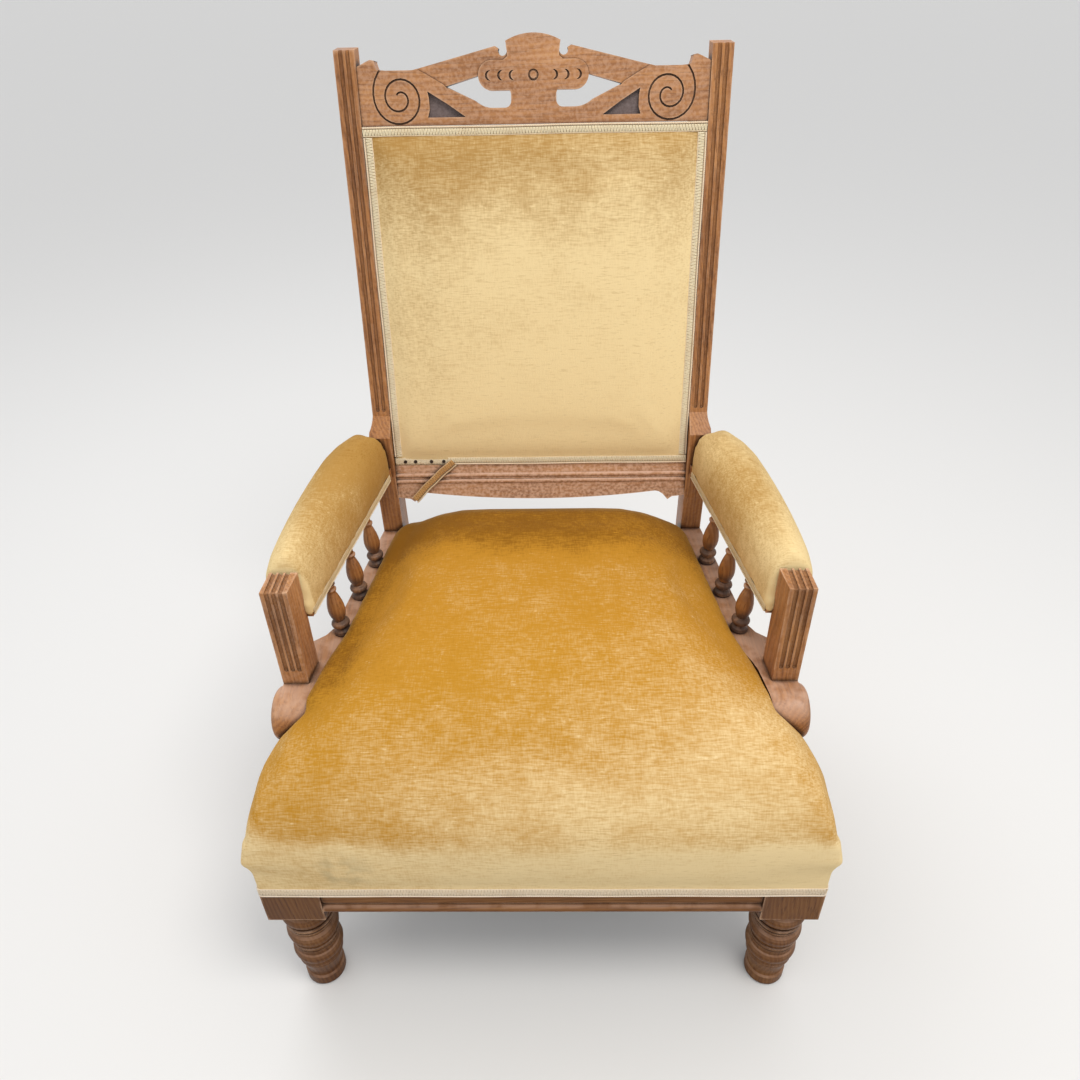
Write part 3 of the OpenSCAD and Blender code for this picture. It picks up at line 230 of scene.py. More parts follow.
def oak(name, along="z", dark=0.0, faded_and_lit=0.0, haze=0.0, shift=(0.0, 0.0, 0.0), sunk=None, shaded_heights=None,
        gloss=0.2):
    """Oak with its grain along one axis.

    dark is stain, which on the legs and front rail is also painted shade; faded bleaches what faces up and
    paints a highlight there; haze is a dull film; soot is the heights between which painted shade sets in;
    and sunk is the way out of a punched floor, which is painted in shade, and its depth."""
    mat, tree = blank(name)
    turn = {"x": (0, math.pi / 2, 0), "y": (math.pi / 2, 0, 0), "z": (0, 0, 0.3)}[along]
    where = put(tree, "Mapping", Vector=place_on(tree), Rotation=turn, Location=shift)
    grain = place_group(tree, oak_grain, Vector=where.outputs[0], Dark=dark)
    wear_and_light = place_group(tree, wear_wax_and_light, Reach=0.005)
    mottle = noise(tree, place_on(tree), 260.0, 5.0)
    clouded = spread(tree, mottle.outputs[0], 0.34, 0.66, 0.45 * haze, 1.55 * haze)
    film = blend(tree, clouded, grain["Color"], (0.68, 0.43, 0.29, 1))
    # Paler where it faces up: real fading with a painted highlight.
    pale = blend(tree, weigh(tree, "MULTIPLY", wear_and_light["Bleach_Highlight"], faded_and_lit), film, (0.64, 0.41, 0.29, 1))
    # Paler on the edges: rubbed finish with a painted highlight.
    bare_and_highlit = blend(tree, weigh(tree, "MULTIPLY", wear_and_light["Wear_Highlight"], 0.65), pale, (0.74, 0.48, 0.31, 1))
    # Near black in the nooks: wax with painted shade.
    waxed_and_shaded = blend(tree, weigh(tree, "MULTIPLY", wear_and_light["Wax_Shade"], 0.9), bare_and_highlit, (0.028, 0.012, 0.007, 1))
    # Painted shade: below the given heights the wood goes dark grey, broken up by noise.
    if shaded_heights:
        height = put(tree, "SeparateXYZ", i0=place_on(tree)).outputs[2]
        shade_breakup = noise(tree, place_on(tree), 90.0, 3.0)
        low = weigh(tree, "MULTIPLY", spread(tree, height, *shaded_heights),
                    spread(tree, shade_breakup.outputs[0], 0.3, 0.6, 0.3, 0.8))
        waxed_and_shaded = blend(tree, low, waxed_and_shaded, (0.060, 0.040, 0.034, 1))
    if sunk:
        way_out, depth = sunk
        where = put(tree, "VectorMath", {"operation": "DOT_PRODUCT"}, i0=place_on(tree), i1=way_out)
        facing = put(tree, "VectorMath", {"operation": "DOT_PRODUCT"},
                     i0=put(tree, "NewGeometry").outputs["Normal"], i1=way_out)
        floor_mask = weigh(tree, "MULTIPLY", weigh(tree, "LESS_THAN", where.outputs["Value"], depth),
                           weigh(tree, "GREATER_THAN", facing.outputs["Value"], 0.7))
        # The sunk floors are painted dark grey as painted shade, stippled like punched ground.
        stipple = noise(tree, place_on(tree), 420.0, 2.0)
        shaded_floor = blend(tree, stipple.outputs[0], (0.09, 0.06, 0.055, 1), (0.24, 0.19, 0.18, 1))
        waxed_and_shaded = blend(tree, floor_mask, waxed_and_shaded, shaded_floor)
    rough = weigh(tree, "ADD", grain["Roughness"], weigh(tree, "MULTIPLY", wear_and_light["Wear_Highlight"], 0.15), True)
    relief = put(tree, "Bump", Height=grain["Height"], Strength=0.35, Distance=0.0004)
    finish_surface(tree, put(tree, "BsdfPrincipled", Base_Color=waxed_and_shaded, Roughness=rough,
                             Specular_IOR_Level=gloss, Normal=relief.outputs[0], Coat_Weight=0.04,
                             Coat_Roughness=0.25))
    return mat


def finish_nodes(mat, *names):
    for name in names:
        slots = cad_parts[name].data.materials
        for i in range(len(slots)):
            slots[i] = mat
        if not slots:
            slots.append(mat)


finish_nodes(oak("oak, left rear post", haze=0.08), "rear_post_left")
finish_nodes(oak("oak, right rear post", haze=0.08, shift=(0.31, 0.12, 0.4)), "rear_post_right")

# Crest rail: one oak board, sawn out, pierced and carved flat with a vee tool, its triangles
# sunk with a punch. Dark wax has been left in all the cuts, and the cuts also carry painted shade;
# the sunk floors are painted dark grey as shade.
RAKE = math.radians(9.4)
BACK_Y, BACK_Z = 479.6, 582
forward = Vector((0, -math.cos(RAKE), math.sin(RAKE))) / 1000
shoulder = row(0, BACK_Y, BACK_Z)
FLOOR_DEPTH = 6
sunk_floor = (tuple(forward * 1000), (shoulder - forward * FLOOR_DEPTH).dot(forward * 1000))
crest_oak = oak("oak, crest rail", "x", faded_and_lit=0.2, haze=0.26, shift=(0.1, 0.05, 0.0), sunk=sunk_floor)
finish_nodes(crest_oak, "crest_rail")

# Lower back rail: an oak rail with two beads worked along it and a shaped lower edge.
# faded is set high: the beads' upper faces take a painted highlight.
lower_oak = oak("oak, lower back rail", "x", faded_and_lit=1.0, haze=0.58, shift=(0.4, 0.2, 0.1))
finish_nodes(lower_oak, "back_lower_rail")

# Front legs: a square oak block with three fat rings and a round foot turned below it. They
# are darker than the rest, with polish built up between the rings, and their dark is also painted
# shade for the shadow under the chair; faded paints a highlight on the ring tops.
for side, dark, faded_and_lit, shift in (("left", 0.66, 0.4, (0.2, 0.7, 0.3)),
                                 ("right", 0.60, 0.5, (0.5, 0.1, 0.6))):
    leg_oak = oak(f"oak, {side} front leg", dark=dark, faded_and_lit=faded_and_lit, gloss=0.08, shift=shift)
    finish_nodes(leg_oak, f"front_leg_{side}")

# Seat rails: oak in front with a bead on its lower edge, oak at the sides, softwood behind.
# Its dark is stain and also painted shade on the front face, and faded paints a highlight on the lower
# bead.
front_oak = oak("oak, front rail", "x", dark=0.50, faded_and_lit=0.4, gloss=0.08, shift=(0.7, 0.3, 0.2))
finish_nodes(front_oak, "seat_rail_front")
side_oak = oak("oak, side rails", "y", dark=0.48, shift=(0.3, 0.6, 0.2))
finish_nodes(side_oak, "seat_rail_left", "seat_rail_right")

deal, tree = blank("softwood")
where = put(tree, "Mapping", Vector=place_on(tree), Scale=(1, 8, 8))
grain = noise(tree, where.outputs[0], 22.0, 4.0)
wood = blend(tree, grain.outputs[0], (0.42, 0.27, 0.13, 1), (0.68, 0.50, 0.30, 1))
relief = put(tree, "Bump", Height=grain.outputs[0], Strength=0.2, Distance=0.0005)
finish_surface(tree, put(tree, "BsdfPrincipled", Base_Color=wood, Roughness=0.7, Normal=relief.outputs[0]))
finish_nodes(deal, "seat_rail_back", "back_tacking_strip_left", "back_tacking_strip_right",
             "arm_riser_left", "arm_riser_right", "corner_blocks")

# Arm supports: base rails with a round nose, square posts with three stopped flutes, turned
# spindles and a shaped rail on top, all oak, pegged and glued together before the back goes on.
# faded pales the tops and the nose, partly real fading and partly painted highlight.
base_oak = oak("oak, base rails", "y", faded_and_lit=0.66, shift=(0.9, 0.2, 0.5))
finish_nodes(base_oak, "arm_base_rail_left", "arm_base_rail_right")
finish_nodes(oak("oak, left arm post", haze=0.18, gloss=0.12, shift=(0.6, 0.4, 0.1)), "arm_post_left")
finish_nodes(oak("oak, right arm post", haze=0.12, gloss=0.12, shift=(0.8, 0.1, 0.2)), "arm_post_right")
# The spindles take painted shade low down beside the seat, and faded pales their up-facing parts, partly as
# painted highlight.
finish_nodes(oak("oak, spindles", dark=0.22, faded_and_lit=0.5, shift=(0.15, 0.35, 0.6), shaded_heights=(0.447, 0.430)),
             *[f"spindle_{side}_{at}" for side in ("left", "right") for at in ("front", "middle", "rear")])
finish_nodes(oak("oak, arm rails", "y", shift=(0.45, 0.75, 0.3)), "arm_rail_left", "arm_rail_right")

# Iron and steel: coiled seat springs, wood screws and the blued tacks.
steel, tree = blank("old spring steel")
rust = noise(tree, place_on(tree), 180.0, 4.0)
spots = spread(tree, rust.outputs[0], 0.52, 0.66)
metal = blend(tree, spots, (0.34, 0.33, 0.31, 1), (0.22, 0.09, 0.035, 1))
dull = spread(tree, rust.outputs[0], 0.4, 0.7, 0.3, 0.75)
finish_surface(tree, put(tree, "BsdfPrincipled", Base_Color=metal, Roughness=dull,
                         Metallic=spread(tree, rust.outputs[0], 0.66, 0.52, 0.2, 1.0)))
finish_nodes(steel, "seat_springs", "corner_screws")

blued, tree = blank("blued tack")
rust = noise(tree, place_on(tree), 900.0, 3.0)
metal = blend(tree, rust.outputs[0], (0.02, 0.018, 0.018, 1), (0.07, 0.04, 0.025, 1))
finish_surface(tree, put(tree, "BsdfPrincipled", Base_Color=metal, Metallic=0.6,
                         Roughness=spread(tree, rust.outputs[0], 0.3, 0.7, 0.35, 0.6)))
finish_nodes(blued, "back_tacks")

# Jute webbing and hessian inside the back and the seat, and the black cotton under the seat.
weave, given, result = group("plain weave", [("Vector", "Vector", None), ("Threads", "Float", 900.0)],
                             [("Color", "Color"), ("Height", "Float")])
warp = put(weave, "TexWave", {"bands_direction": "X"}, Vector=given[0], Scale=given[1], Distortion=0.6)
weft = put(weave, "TexWave", {"bands_direction": "Y"}, Vector=given[0], Scale=given[1], Distortion=0.6)
raised = weigh(weave, "MAXIMUM", warp.outputs[1], weft.outputs[1])
slub = noise(weave, given[0], 160.0, 3.0)
shade = weigh(weave, "MULTIPLY", raised, spread(weave, slub.outputs[0], 0.3, 0.7, 0.75, 1.0))
weave.links.new(put(weave, "CombineColor", Red=shade, Green=shade, Blue=shade).outputs[0], result[0])
weave.links.new(raised, result[1])


def cloth(name, dark, pale, threads):
    mat, tree = blank(name)
    woven = place_group(tree, weave, Vector=place_on(tree), Threads=threads)
    colour = blend(tree, woven["Color"], dark, pale)
    relief = put(tree, "Bump", Height=woven["Height"], Strength=0.4, Distance=0.0006)
    finish_surface(tree, put(tree, "BsdfPrincipled", Base_Color=colour, Roughness=0.92,
                             Normal=relief.outputs[0], Sheen_Weight=0.15, Sheen_Roughness=0.5))
    return mat


hessian = cloth("hessian", (0.20, 0.13, 0.06, 1), (0.50, 0.37, 0.20, 1), 500.0)
finish_nodes(hessian, "back_webbing", "back_hessian", "seat_webbing", "seat_hessian")

# Gold cotton velvet over horsehair and wadding. The pile leans, so it reads amber where it is
# brushed one way and straw where it is brushed the other, with fine lines across it where
# rows of pile have parted. Each pad is pulled over its stuffing and tacked down all round.
velvet_pile, given, result = group(
    "velvet pile", [("Vector", "Vector", None), ("Amber", "Color", None), ("Straw", "Color", None),
                    ("Nap", "Float", 0.5)], [("Color", "Color"), ("Height", "Float")])
rows = noise(velvet_pile, squeezed(velvet_pile, given[0], (0.12, 1, 1)), 640.0, 2.0)
ends = noise(velvet_pile, squeezed(velvet_pile, given[0], (1, 0.20, 0.20)), 560.0, 2.0)
patches = put(velvet_pile, "TexNoise", Vector=given[0], Scale=14.0, Detail=7.0, Roughness=0.72)
flecks = noise(velvet_pile, squeezed(velvet_pile, given[0], (0.45, 1, 1)), 210.0, 2.0)
tufts = noise(velvet_pile, given[0], 2600.0, 1.0)
lean = given[3]
for pattern, much in ((patches, 0.11), (rows, 0.10), (ends, 0.06)):
    lean = weigh(velvet_pile, "ADD", lean, spread(velvet_pile, pattern.outputs[0], 0.32, 0.68, -much, much))
lean = weigh(velvet_pile, "ADD", lean, spread(velvet_pile, flecks.outputs[0], 0.64, 0.76, 0.0, 0.20))
pile = blend(velvet_pile, spread(velvet_pile, lean, 0.0, 1.0), given[1], given[2])
# A nap below nought takes the pile to deep brown: the painted shade that the seat's nap asks for.
pile = blend(velvet_pile, spread(velvet_pile, lean, 0.02, -0.55), pile, (0.27, 0.115, 0.010, 1))
parted = weigh(velvet_pile, "MULTIPLY", spread(velvet_pile, rows.outputs[0], 0.42, 0.30),
               spread(velvet_pile, patches.outputs[0], 0.40, 0.60))
pile = blend(velvet_pile, weigh(velvet_pile, "MULTIPLY", parted, 0.16), pile, (0.25, 0.11, 0.012, 1))
velvet_pile.links.new(pile, result[0])
velvet_pile.links.new(weigh(velvet_pile, "ADD", tufts.outputs[0], weigh(velvet_pile, "ADD", rows.outputs[0],
                                                                         ends.outputs[0])), result[1])


def velvet(name, amber, straw, stain=None):
    mat, tree = blank(name)
    nap = put(tree, "Attribute", {"attribute_name": "nap"}).outputs["Fac"]
    pile = place_group(tree, velvet_pile, Vector=place_on(tree), Amber=amber,
                       Straw=straw, Nap=nap)
    colour = pile["Color"]
    if stain:
        where = place_on(tree)
        off = put(tree, "VectorMath", {"operation": "DISTANCE"}, i0=where, i1=stain[0]).outputs["Value"]
        blot = noise(tree, where, 42.0, 6.0)
        soiled = weigh(tree, "MULTIPLY", spread(tree, off, stain[1], 0.0),
                       spread(tree, blot.outputs[0], 0.36, 0.64))
        colour = blend(tree, weigh(tree, "MULTIPLY", soiled, 0.55), colour, (0.34, 0.27, 0.15, 1))
    relief = put(tree, "Bump", Height=pile["Height"], Strength=0.4, Distance=0.0006)
    finish_surface(tree, put(tree, "BsdfPrincipled", Base_Color=colour, Roughness=0.9,
                             Specular_IOR_Level=0.08, Normal=relief.outputs[0], Sheen_Weight=0.22,
                             Sheen_Roughness=0.3, Sheen_Tint=(1.0, 0.80, 0.42, 1)))
    return mat


SWELLING_FRAMES = 20
PRESSED_IN = 0.0005


def smooth(t):
    t = max(0.0, min(1.0, t))
    return t * t * (3 - 2 * t)


def add_piece(name, bm, mat, slot, *nodes):
    bm.normal_update()
    mesh = bpy.data.meshes.new(name)
    bm.to_mesh(mesh)
    bm.free()
    mesh.materials.append(mat)
    for face in mesh.polygons:
        face.use_smooth = True
    obj = bpy.data.objects.new(name, mesh)
    scene.collection.objects.link(obj)
    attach(obj, "root")
    if nodes:
        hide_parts(*nodes)
    return obj


def soften(bm, verts, times):
    for _ in range(times):
        bmesh.ops.smooth_vert(bm, verts=verts, factor=0.5, use_axis_x=True, use_axis_y=True,
                              use_axis_z=True)


def stuffed(name, nodes, prisms, voxel, press, cap, held, nap, mat, shape=None, over=()):
    """Each prism is an outline and the way up from it. over names forms that the skin covers without
    standing for them, held says where it is tacked, and cap is how far it may swell."""
    bm = bmesh.new()
    for node in (*nodes, *over):
        bm.from_mesh(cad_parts[node].data)
    bmesh.ops.remove_doubles(bm, verts=bm.verts, dist=0.00005)
    for outline, top in prisms:
        lower = [bm.verts.new(p) for p in outline]
        upper = [bm.verts.new(p + top) for p in outline]
        for i in range(len(outline)):
            j = (i + 1) % len(outline)
            bm.faces.new((lower[i], lower[j], upper[j], upper[i]))
        bm.faces.new(lower)
        bm.faces.new(upper)
    rough = bpy.data.meshes.new(name + " form")
    bm.to_mesh(rough)
    bm.free()
    form = bpy.data.objects.new(name + " form", rough)
    scene.collection.objects.link(form)
    skin = form.modifiers.new("skin", "REMESH")
    skin.mode, skin.voxel_size = "VOXEL", voxel
    ready = form.evaluated_get(bpy.context.evaluated_depsgraph_get())
    bm = bmesh.new()
    bm.from_mesh(ready.to_mesh())
    ready.to_mesh_clear()
    bpy.data.meshes.remove(rough)
    free = [v for v in bm.verts if not held(v.co)]
    soften(bm, free, 2)
    bm.normal_update()
    base = [(v.co.copy(), v.normal.copy()) for v in bm.verts]
    mesh = bpy.data.meshes.new(name + " swelling")
    bm.to_mesh(mesh)
    swell = bpy.data.objects.new(name + " swelling", mesh)
    scene.collection.objects.link(swell)
    pins = swell.vertex_groups.new(name="tacked")
    pins.add([v.index for v in mesh.vertices if held(v.co)], 1.0, "REPLACE")
    drape = swell.modifiers.new("drape", "CLOTH")
    drape.settings.vertex_group_mass = "tacked"
    drape.settings.use_pressure = True
    drape.settings.uniform_pressure_force = press
    drape.settings.tension_stiffness = drape.settings.compression_stiffness = 25
    drape.settings.effector_weights.gravity = 0
    for at in range(1, SWELLING_FRAMES + 1):
        scene.frame_set(at)
    ready = swell.evaluated_get(bpy.context.evaluated_depsgraph_get())
    moved = ready.to_mesh()
    bm.verts.ensure_lookup_table()
    for v, (was, out) in zip(bm.verts, base):
        swollen = (moved.vertices[v.index].co - was).dot(out)
        v.co = was + out * max(-PRESSED_IN, min(cap, swollen))
    ready.to_mesh_clear()
    scene.frame_set(1)
    bpy.data.meshes.remove(mesh)
    soften(bm, free, 3)
    bmesh.ops.recalc_face_normals(bm, faces=bm.faces)
    bm.normal_update()
    layer = bm.verts.layers.float.new("nap")
    for v in bm.verts:
        if shape:
            v.co = shape(v.co, v.normal)
        v[layer] = nap(v.co)
    piece = add_piece(name, bm, mat, "velvet", *nodes)
    round_off = piece.modifiers.new("one subdivision", "SUBSURF")
    round_off.levels = round_off.render_levels = 1


# Seat cover: one piece of velvet over nine springs, hessian, horsehair and wadding, domed,
# turned over a firm front roll and tacked to the rebate of the rails and blocks.
AMBER, STRAW = (0.50, 0.238, 0.024, 1), (0.87, 0.67, 0.36, 1)


def seat_nap(p):
    """How straw the pile looks: the crown leans back and is amber, the roll and the border lean forward.
    Painted light and shade are added on top of this.
    """
    x, y, z = p.x * 1000, p.y * 1000 + MIDDLE_Y, p.z * 1000
    # The height at which the roll turns into the straw border, a little ragged and higher at both ends
    turn = 311 + 24 * max(0, -x / 300) ** 2 + 12 * max(0, x / 300) ** 2
    turn += 2.5 * math.sin(x / 19) + 1.5 * math.sin(x / 7.3)
    # Lighter: towards the front, over the roll, a painted pool of light on the right, and a painted sheen
    # along the far sides
    front = smooth((170 - y) / 170)
    roll = smooth((70 - y) / 70) * math.exp(-((x - 50) / 190) ** 2)
    lit_right = math.exp(-((x - 215) / 100) ** 2 - ((y - 90) / 110) ** 2)
    edge = smooth((abs(x) - 215) / 90) * smooth((y - 60) / 120)
    # Darker, as painted shade: the back of the crown, and the brink above each base rail
    behind = smooth((y - 295 - 0.0006 * x * x) / 95) * smooth((z - 385) / 40)
    inside = 267 - 0.139 * y
    brink = smooth((abs(x) - inside + 55) / 50) * smooth((y - 80) / 60) * (0.34 if x < 0 else 0.16)
    dome = 0.12 - brink + 0.22 * front + 0.26 * roll + 0.22 * lit_right + 0.10 * edge
    # Painted shade over the back of the crown and, a little, over the left half
    dome -= 0.52 * behind + 0.08 * smooth(-x / 200)
    # The border is painted darker towards the left, as shade
    border = 0.84 + 0.14 * x / 300
    return dome + (border - dome) * smooth((turn + 13 - z) / 26) * smooth((170 - y) / 130)


def mirrored(outline):
    return [Vector((-p.x, p.y, p.z)) for p in outline]


def seat_held(p):
    """Tacked along its lower edge and behind, and stitched to a point at each end of the front roll."""
    tip = math.dist((abs(p.x), p.y), (0.324, -MIDDLE_Y / 1000))
    return p.z < 0.246 or p.y > 0.19 or (tip < 0.016 and p.z < 0.300)


def seat_shape(p, out):
    """Leaves a sharp corner at each end of the front roll and lets the sides bulge over the base rails,
    more on the left."""
    tip = Vector((math.copysign(0.3262, p.x), -0.2917, 0.292))
    near = max(0.0, 1 - (p - tip).length / 0.030)
    if near:
        return p.lerp(tip, 0.8 * near ** 2)
    inside = 0.227 - 0.139 * p.y + 0.012 * smooth((-0.05 - p.y) / 0.06)
    beside = smooth((abs(p.x) - inside + 0.030) / 0.022)
    beside *= smooth((p.y + 0.172) / 0.012) * smooth((0.196 - p.y) / 0.012)
    above = smooth((p.z - 0.399) / 0.008) * smooth((0.436 - p.z) / 0.020)
    roll_end = smooth((abs(p.x) - 0.29) / 0.02) * smooth((-0.20 - p.y) / 0.05)
    roll_end *= smooth((p.z - 0.298) / 0.014) * smooth((0.38 - p.z) / 0.05)
    p = Vector((p.x - math.copysign(0.0032 * roll_end, p.x), p.y, p.z))
    bulge = 0.0016 + 0.0008 * smooth((0.345 - p.z) / 0.01) + 0.0050 * above
    fuller = 1 if p.x < 0 else 0.25
    return p + out * beside * bulge * fuller * smooth((p.z - 0.25) / 0.02)


# The cover's edge is turned under a finger's breadth all round, so it has some thickness there
def edge_turn(*corners):
    return [row(x, y, 221) for x, y in corners]


front_turn = edge_turn((-322.6, -0.6), (322.6, -0.6), (322.6, 15), (-322.6, 15))
corner_turn = edge_turn((322.6, -0.6), (322.6, 68), (307, 68), (307, -0.6))
side_turn = edge_turn((322.6, 68), (234.2, 461), (219, 461), (307, 68))
turns = [(front_turn, row(0, MIDDLE_Y, 66))]
turns += [(way(turn), row(0, MIDDLE_Y, 50)) for turn in (corner_turn, side_turn)
          for way in (list, mirrored)]
STAIN = ((-0.219, -0.290, 0.276), 0.050)
stuffed("seat_cover", ["seat_pad", "seat_front_border", "seat_side_left", "seat_side_right"], turns,
        voxel=0.005, press=4.0, cap=0.006, held=seat_held, nap=seat_nap,
        mat=velvet("velvet, seat", AMBER, STRAW, STAIN), shape=seat_shape,
        over=("arm_riser_left", "arm_riser_right"))

# Back panel: stuffed thinly between the posts, crest and lower rail, drawn down at its edges.
def on_back(x, s, n):
    """A point on the leaning back: s up it from the shoulder of the posts, n out of it."""
    return row(x, BACK_Y + s * math.sin(RAKE) - n * math.cos(RAKE),
               BACK_Z + s * math.cos(RAKE) + n * math.sin(RAKE))


def up_back(p):
    """How far a point lies up the back and out of it."""
    y, z = p.y * 1000 + MIDDLE_Y - BACK_Y, p.z * 1000 - BACK_Z
    return y * math.sin(RAKE) + z * math.cos(RAKE), -y * math.cos(RAKE) + z * math.sin(RAKE)


def back_nap(p):
    """Straw low down, where backs have brushed the pile, and amber towards the top and the left edge."""
    s, n = up_back(p)
    x = p.x * 1000
    left = math.exp(-((x + 150) / 60) ** 2) * smooth((s + 40) / 100)
    upper_right = smooth(x / 150) * smooth((s - 200) / 100)
    return (1.0 - 0.12 * smooth((s - 10) / 140) - 0.66 * smooth((s - 180) / 180) + 0.06 * upper_right
            - 0.14 * left)


stuffed("back_panel", ["back_pad"], [], voxel=0.005, press=0.8, cap=0.0015,
        held=lambda p: up_back(p)[1] < 0.4, nap=back_nap,
        mat=velvet("velvet, back", (0.43, 0.243, 0.071, 1), (0.88, 0.69, 0.37, 1)))


# Arm pads: horsehair and wadding on each arm rail, velvet drawn over and tacked down its
# sides, so that it hides all but the lowest few millimetres of the rail.
ARM_RISE = math.radians(4.6)
ARM_Y, ARM_Z = 192, 476


def on_arm(x, s, h):
    """A point on a rising arm rail: s back from its front end, h above its underside."""
    return row(x, ARM_Y + s * math.cos(ARM_RISE) - h * math.sin(ARM_RISE),
               ARM_Z + s * math.sin(ARM_RISE) + h * math.cos(ARM_RISE))


def arm_height(p):
    y, z = p.y * 1000 + MIDDLE_Y - ARM_Y, p.z * 1000 - ARM_Z
    return z * math.cos(ARM_RISE) - y * math.sin(ARM_RISE)


def rail_outside(s):
    return 301.1 - 5.06e-4 * max(0, s - 8) ** 2


def rail_inside(s):
    return 258.2 - 0.1971 * s


def arm_nap(p):
    """Amber at the rear of the left arm, straw towards the front, and paler at the outside and the front
    end, which is a painted highlight.
    """
    front = smooth((0.02 - p.y) / 0.10)
    rear = smooth((p.y - 0.03) / 0.12)
    outer = smooth((abs(p.x) - 0.262) / 0.035)
    crown = 0.22 + 0.28 * front - 0.30 * rear if p.x < 0 else 0.36 + 0.32 * front + 0.20 * rear
    # The outside edge and the front end are painted paler, as a highlight.
    return crown + 0.26 * outer + smooth((-0.087 - p.y) / 0.004)


CLOTH, TACK_HEIGHT = 1.4, 14
skirt = [on_arm(rail_outside(s) + CLOTH, s, 9) for s in range(2, 283, 28)]
skirt += [on_arm(231, 282, 9), on_arm(231, 264, 9)]
skirt += [on_arm(rail_inside(s) - CLOTH, s, 9) for s in range(262, 1, -26)]
front_end = [on_arm(x, s, 1) for x, s in ((256.6, -2.2), (267.6, -2.2), (267.6, 7), (256.6, 7))]
arm_velvet = velvet("velvet, arms", (0.435, 0.242, 0.062, 1), (0.80, 0.61, 0.31, 1))
for side, way in (("left", mirrored), ("right", list)):
    stuffed(f"arm_cushion_{side}", [f"arm_pad_{side}"],
            [(way(skirt), Vector((0, -0.0010, 0.013))), (way(front_end), Vector((0, -0.0016, 0.020)))],
            voxel=0.004, press=2.0, cap=0.003, held=lambda p: arm_height(p) < TACK_HEIGHT, nap=arm_nap,
            mat=arm_velvet)

# Gimp: a flat braid, glued over the tacks. A twisted cord runs along one edge, a thinner one
# along the other, and a row of cotton loops lies between them on a woven tape.


THICK_CORD, THIN_CORD, TAPE, LOOP = 1.0, 0.8, 0.0, 0.25
LOOP_PITCH, LOOP_THICK, TAPE_THICK = 0.0017, 0.00074, 0.0004


def braid(name, mat, runs, *nodes, proud=1.0):
    """Each run is points on the cloth, the way out of it at each, and a width.

    The thick cord lies on the side of out x along. The thread attribute tells cords, loops and tape
    apart, and a proud below 1 flattens the braid against its cloth."""
    verts, faces, tints = [], [], []

    def tube(line, rounds, thick, sides, tint):
        start = len(verts)
        for p, (u, v) in zip(line, rounds):
            for k in range(sides):
                a = 2 * math.pi * k / sides
                verts.append(p + (u * math.cos(a) + v * math.sin(a)) * thick)
                tints.append(tint)
        for i in range(len(line) - 1):
            for k in range(sides):
                a, b = start + i * sides + k, start + i * sides + (k + 1) % sides
                faces.append((a, b, b + sides, a + sides))
        faces.append(tuple(range(start + sides - 1, start - 1, -1)))
        faces.append(tuple(range(len(verts) - sides, len(verts))))

    for line, outs, width in runs:
        legs = [(b - a).length for a, b in zip(line, line[1:])]
        whole = sum(legs)

        def at(u):
            k = 0
            while k < len(legs) - 1 and u > legs[k]:
                u -= legs[k]
                k += 1
            f = min(1.0, u / legs[k])
            along = (line[k + 1] - line[k]).normalized()
            out = outs[k].lerp(outs[k + 1], f).normalized()
            waver = 0.0003 * math.sin(u * 41 + k)
            over = out.cross(along).normalized()
            return line[k].lerp(line[k + 1], f) + over * waver, along, out, over

        half = width / 2
        # Each cord: how far it lies from the middle, its strands' reach, its pitch and its kind
        cords = ((half - 0.0013, 0.00062, 0.0042, THICK_CORD), (0.0008 - half, 0.00036, 0.0028, THIN_CORD))
        for off, reach, pitch, tint in cords:
            steps = max(6, round(whole / pitch * 6))
            for strand in (0, math.pi):
                spine, rounds = [], []
                for i in range(steps + 1):
                    p, along, out, over = at(whole * i / steps)
                    turn = strand + i * math.pi / 3
                    lift = (0.0004 + reach * (1.0 + math.sin(turn))) * proud
                    spine.append(p + over * (off + reach * math.cos(turn)) + out * lift)
                    rounds.append((over, out))
                tube(spine, rounds, reach * 1.08, 5, tint)
        count = max(2, round(whole / LOOP_PITCH))
        low, high = 0.0010 - half, half - 0.0030
        for i in range(count):
            p, along, out, over = at(whole * (i + 0.5) / count)
            sway = 0.0002 * (-1) ** i
            spine = []
            for f in (0, 0.2, 0.5, 0.8, 1):
                lift = (0.0004 + 0.0009 * math.sin(math.pi * (0.12 + 0.76 * f))) * proud
                spine.append(p + over * (low + (high - low) * f) + along * sway * math.cos(f * math.pi)
                             + out * lift)
            tube(spine, [(along, out)] * 5, LOOP_THICK, 4, LOOP + 0.3 * random.random())
        tape, rounds = [], []
        for i in range(41):
            p, along, out, over = at(whole * i / 40)
            tape.append(p + out * 0.0002)
            rounds.append((over * (half - 0.0008) / TAPE_THICK, out))
        tube(tape, rounds, TAPE_THICK, 4, TAPE)
    mesh = bpy.data.meshes.new(name + " threads")
    mesh.from_pydata(verts, [], faces)
    bm = bmesh.new()
    bm.from_mesh(mesh)
    bpy.data.meshes.remove(mesh)
    layer = bm.verts.layers.float.new("thread")
    for v, tint in zip(bm.verts, tints):
        v[layer] = tint
    bmesh.ops.recalc_face_normals(bm, faces=bm.faces)
    return add_piece(name, bm, mat, "gimp", *nodes)


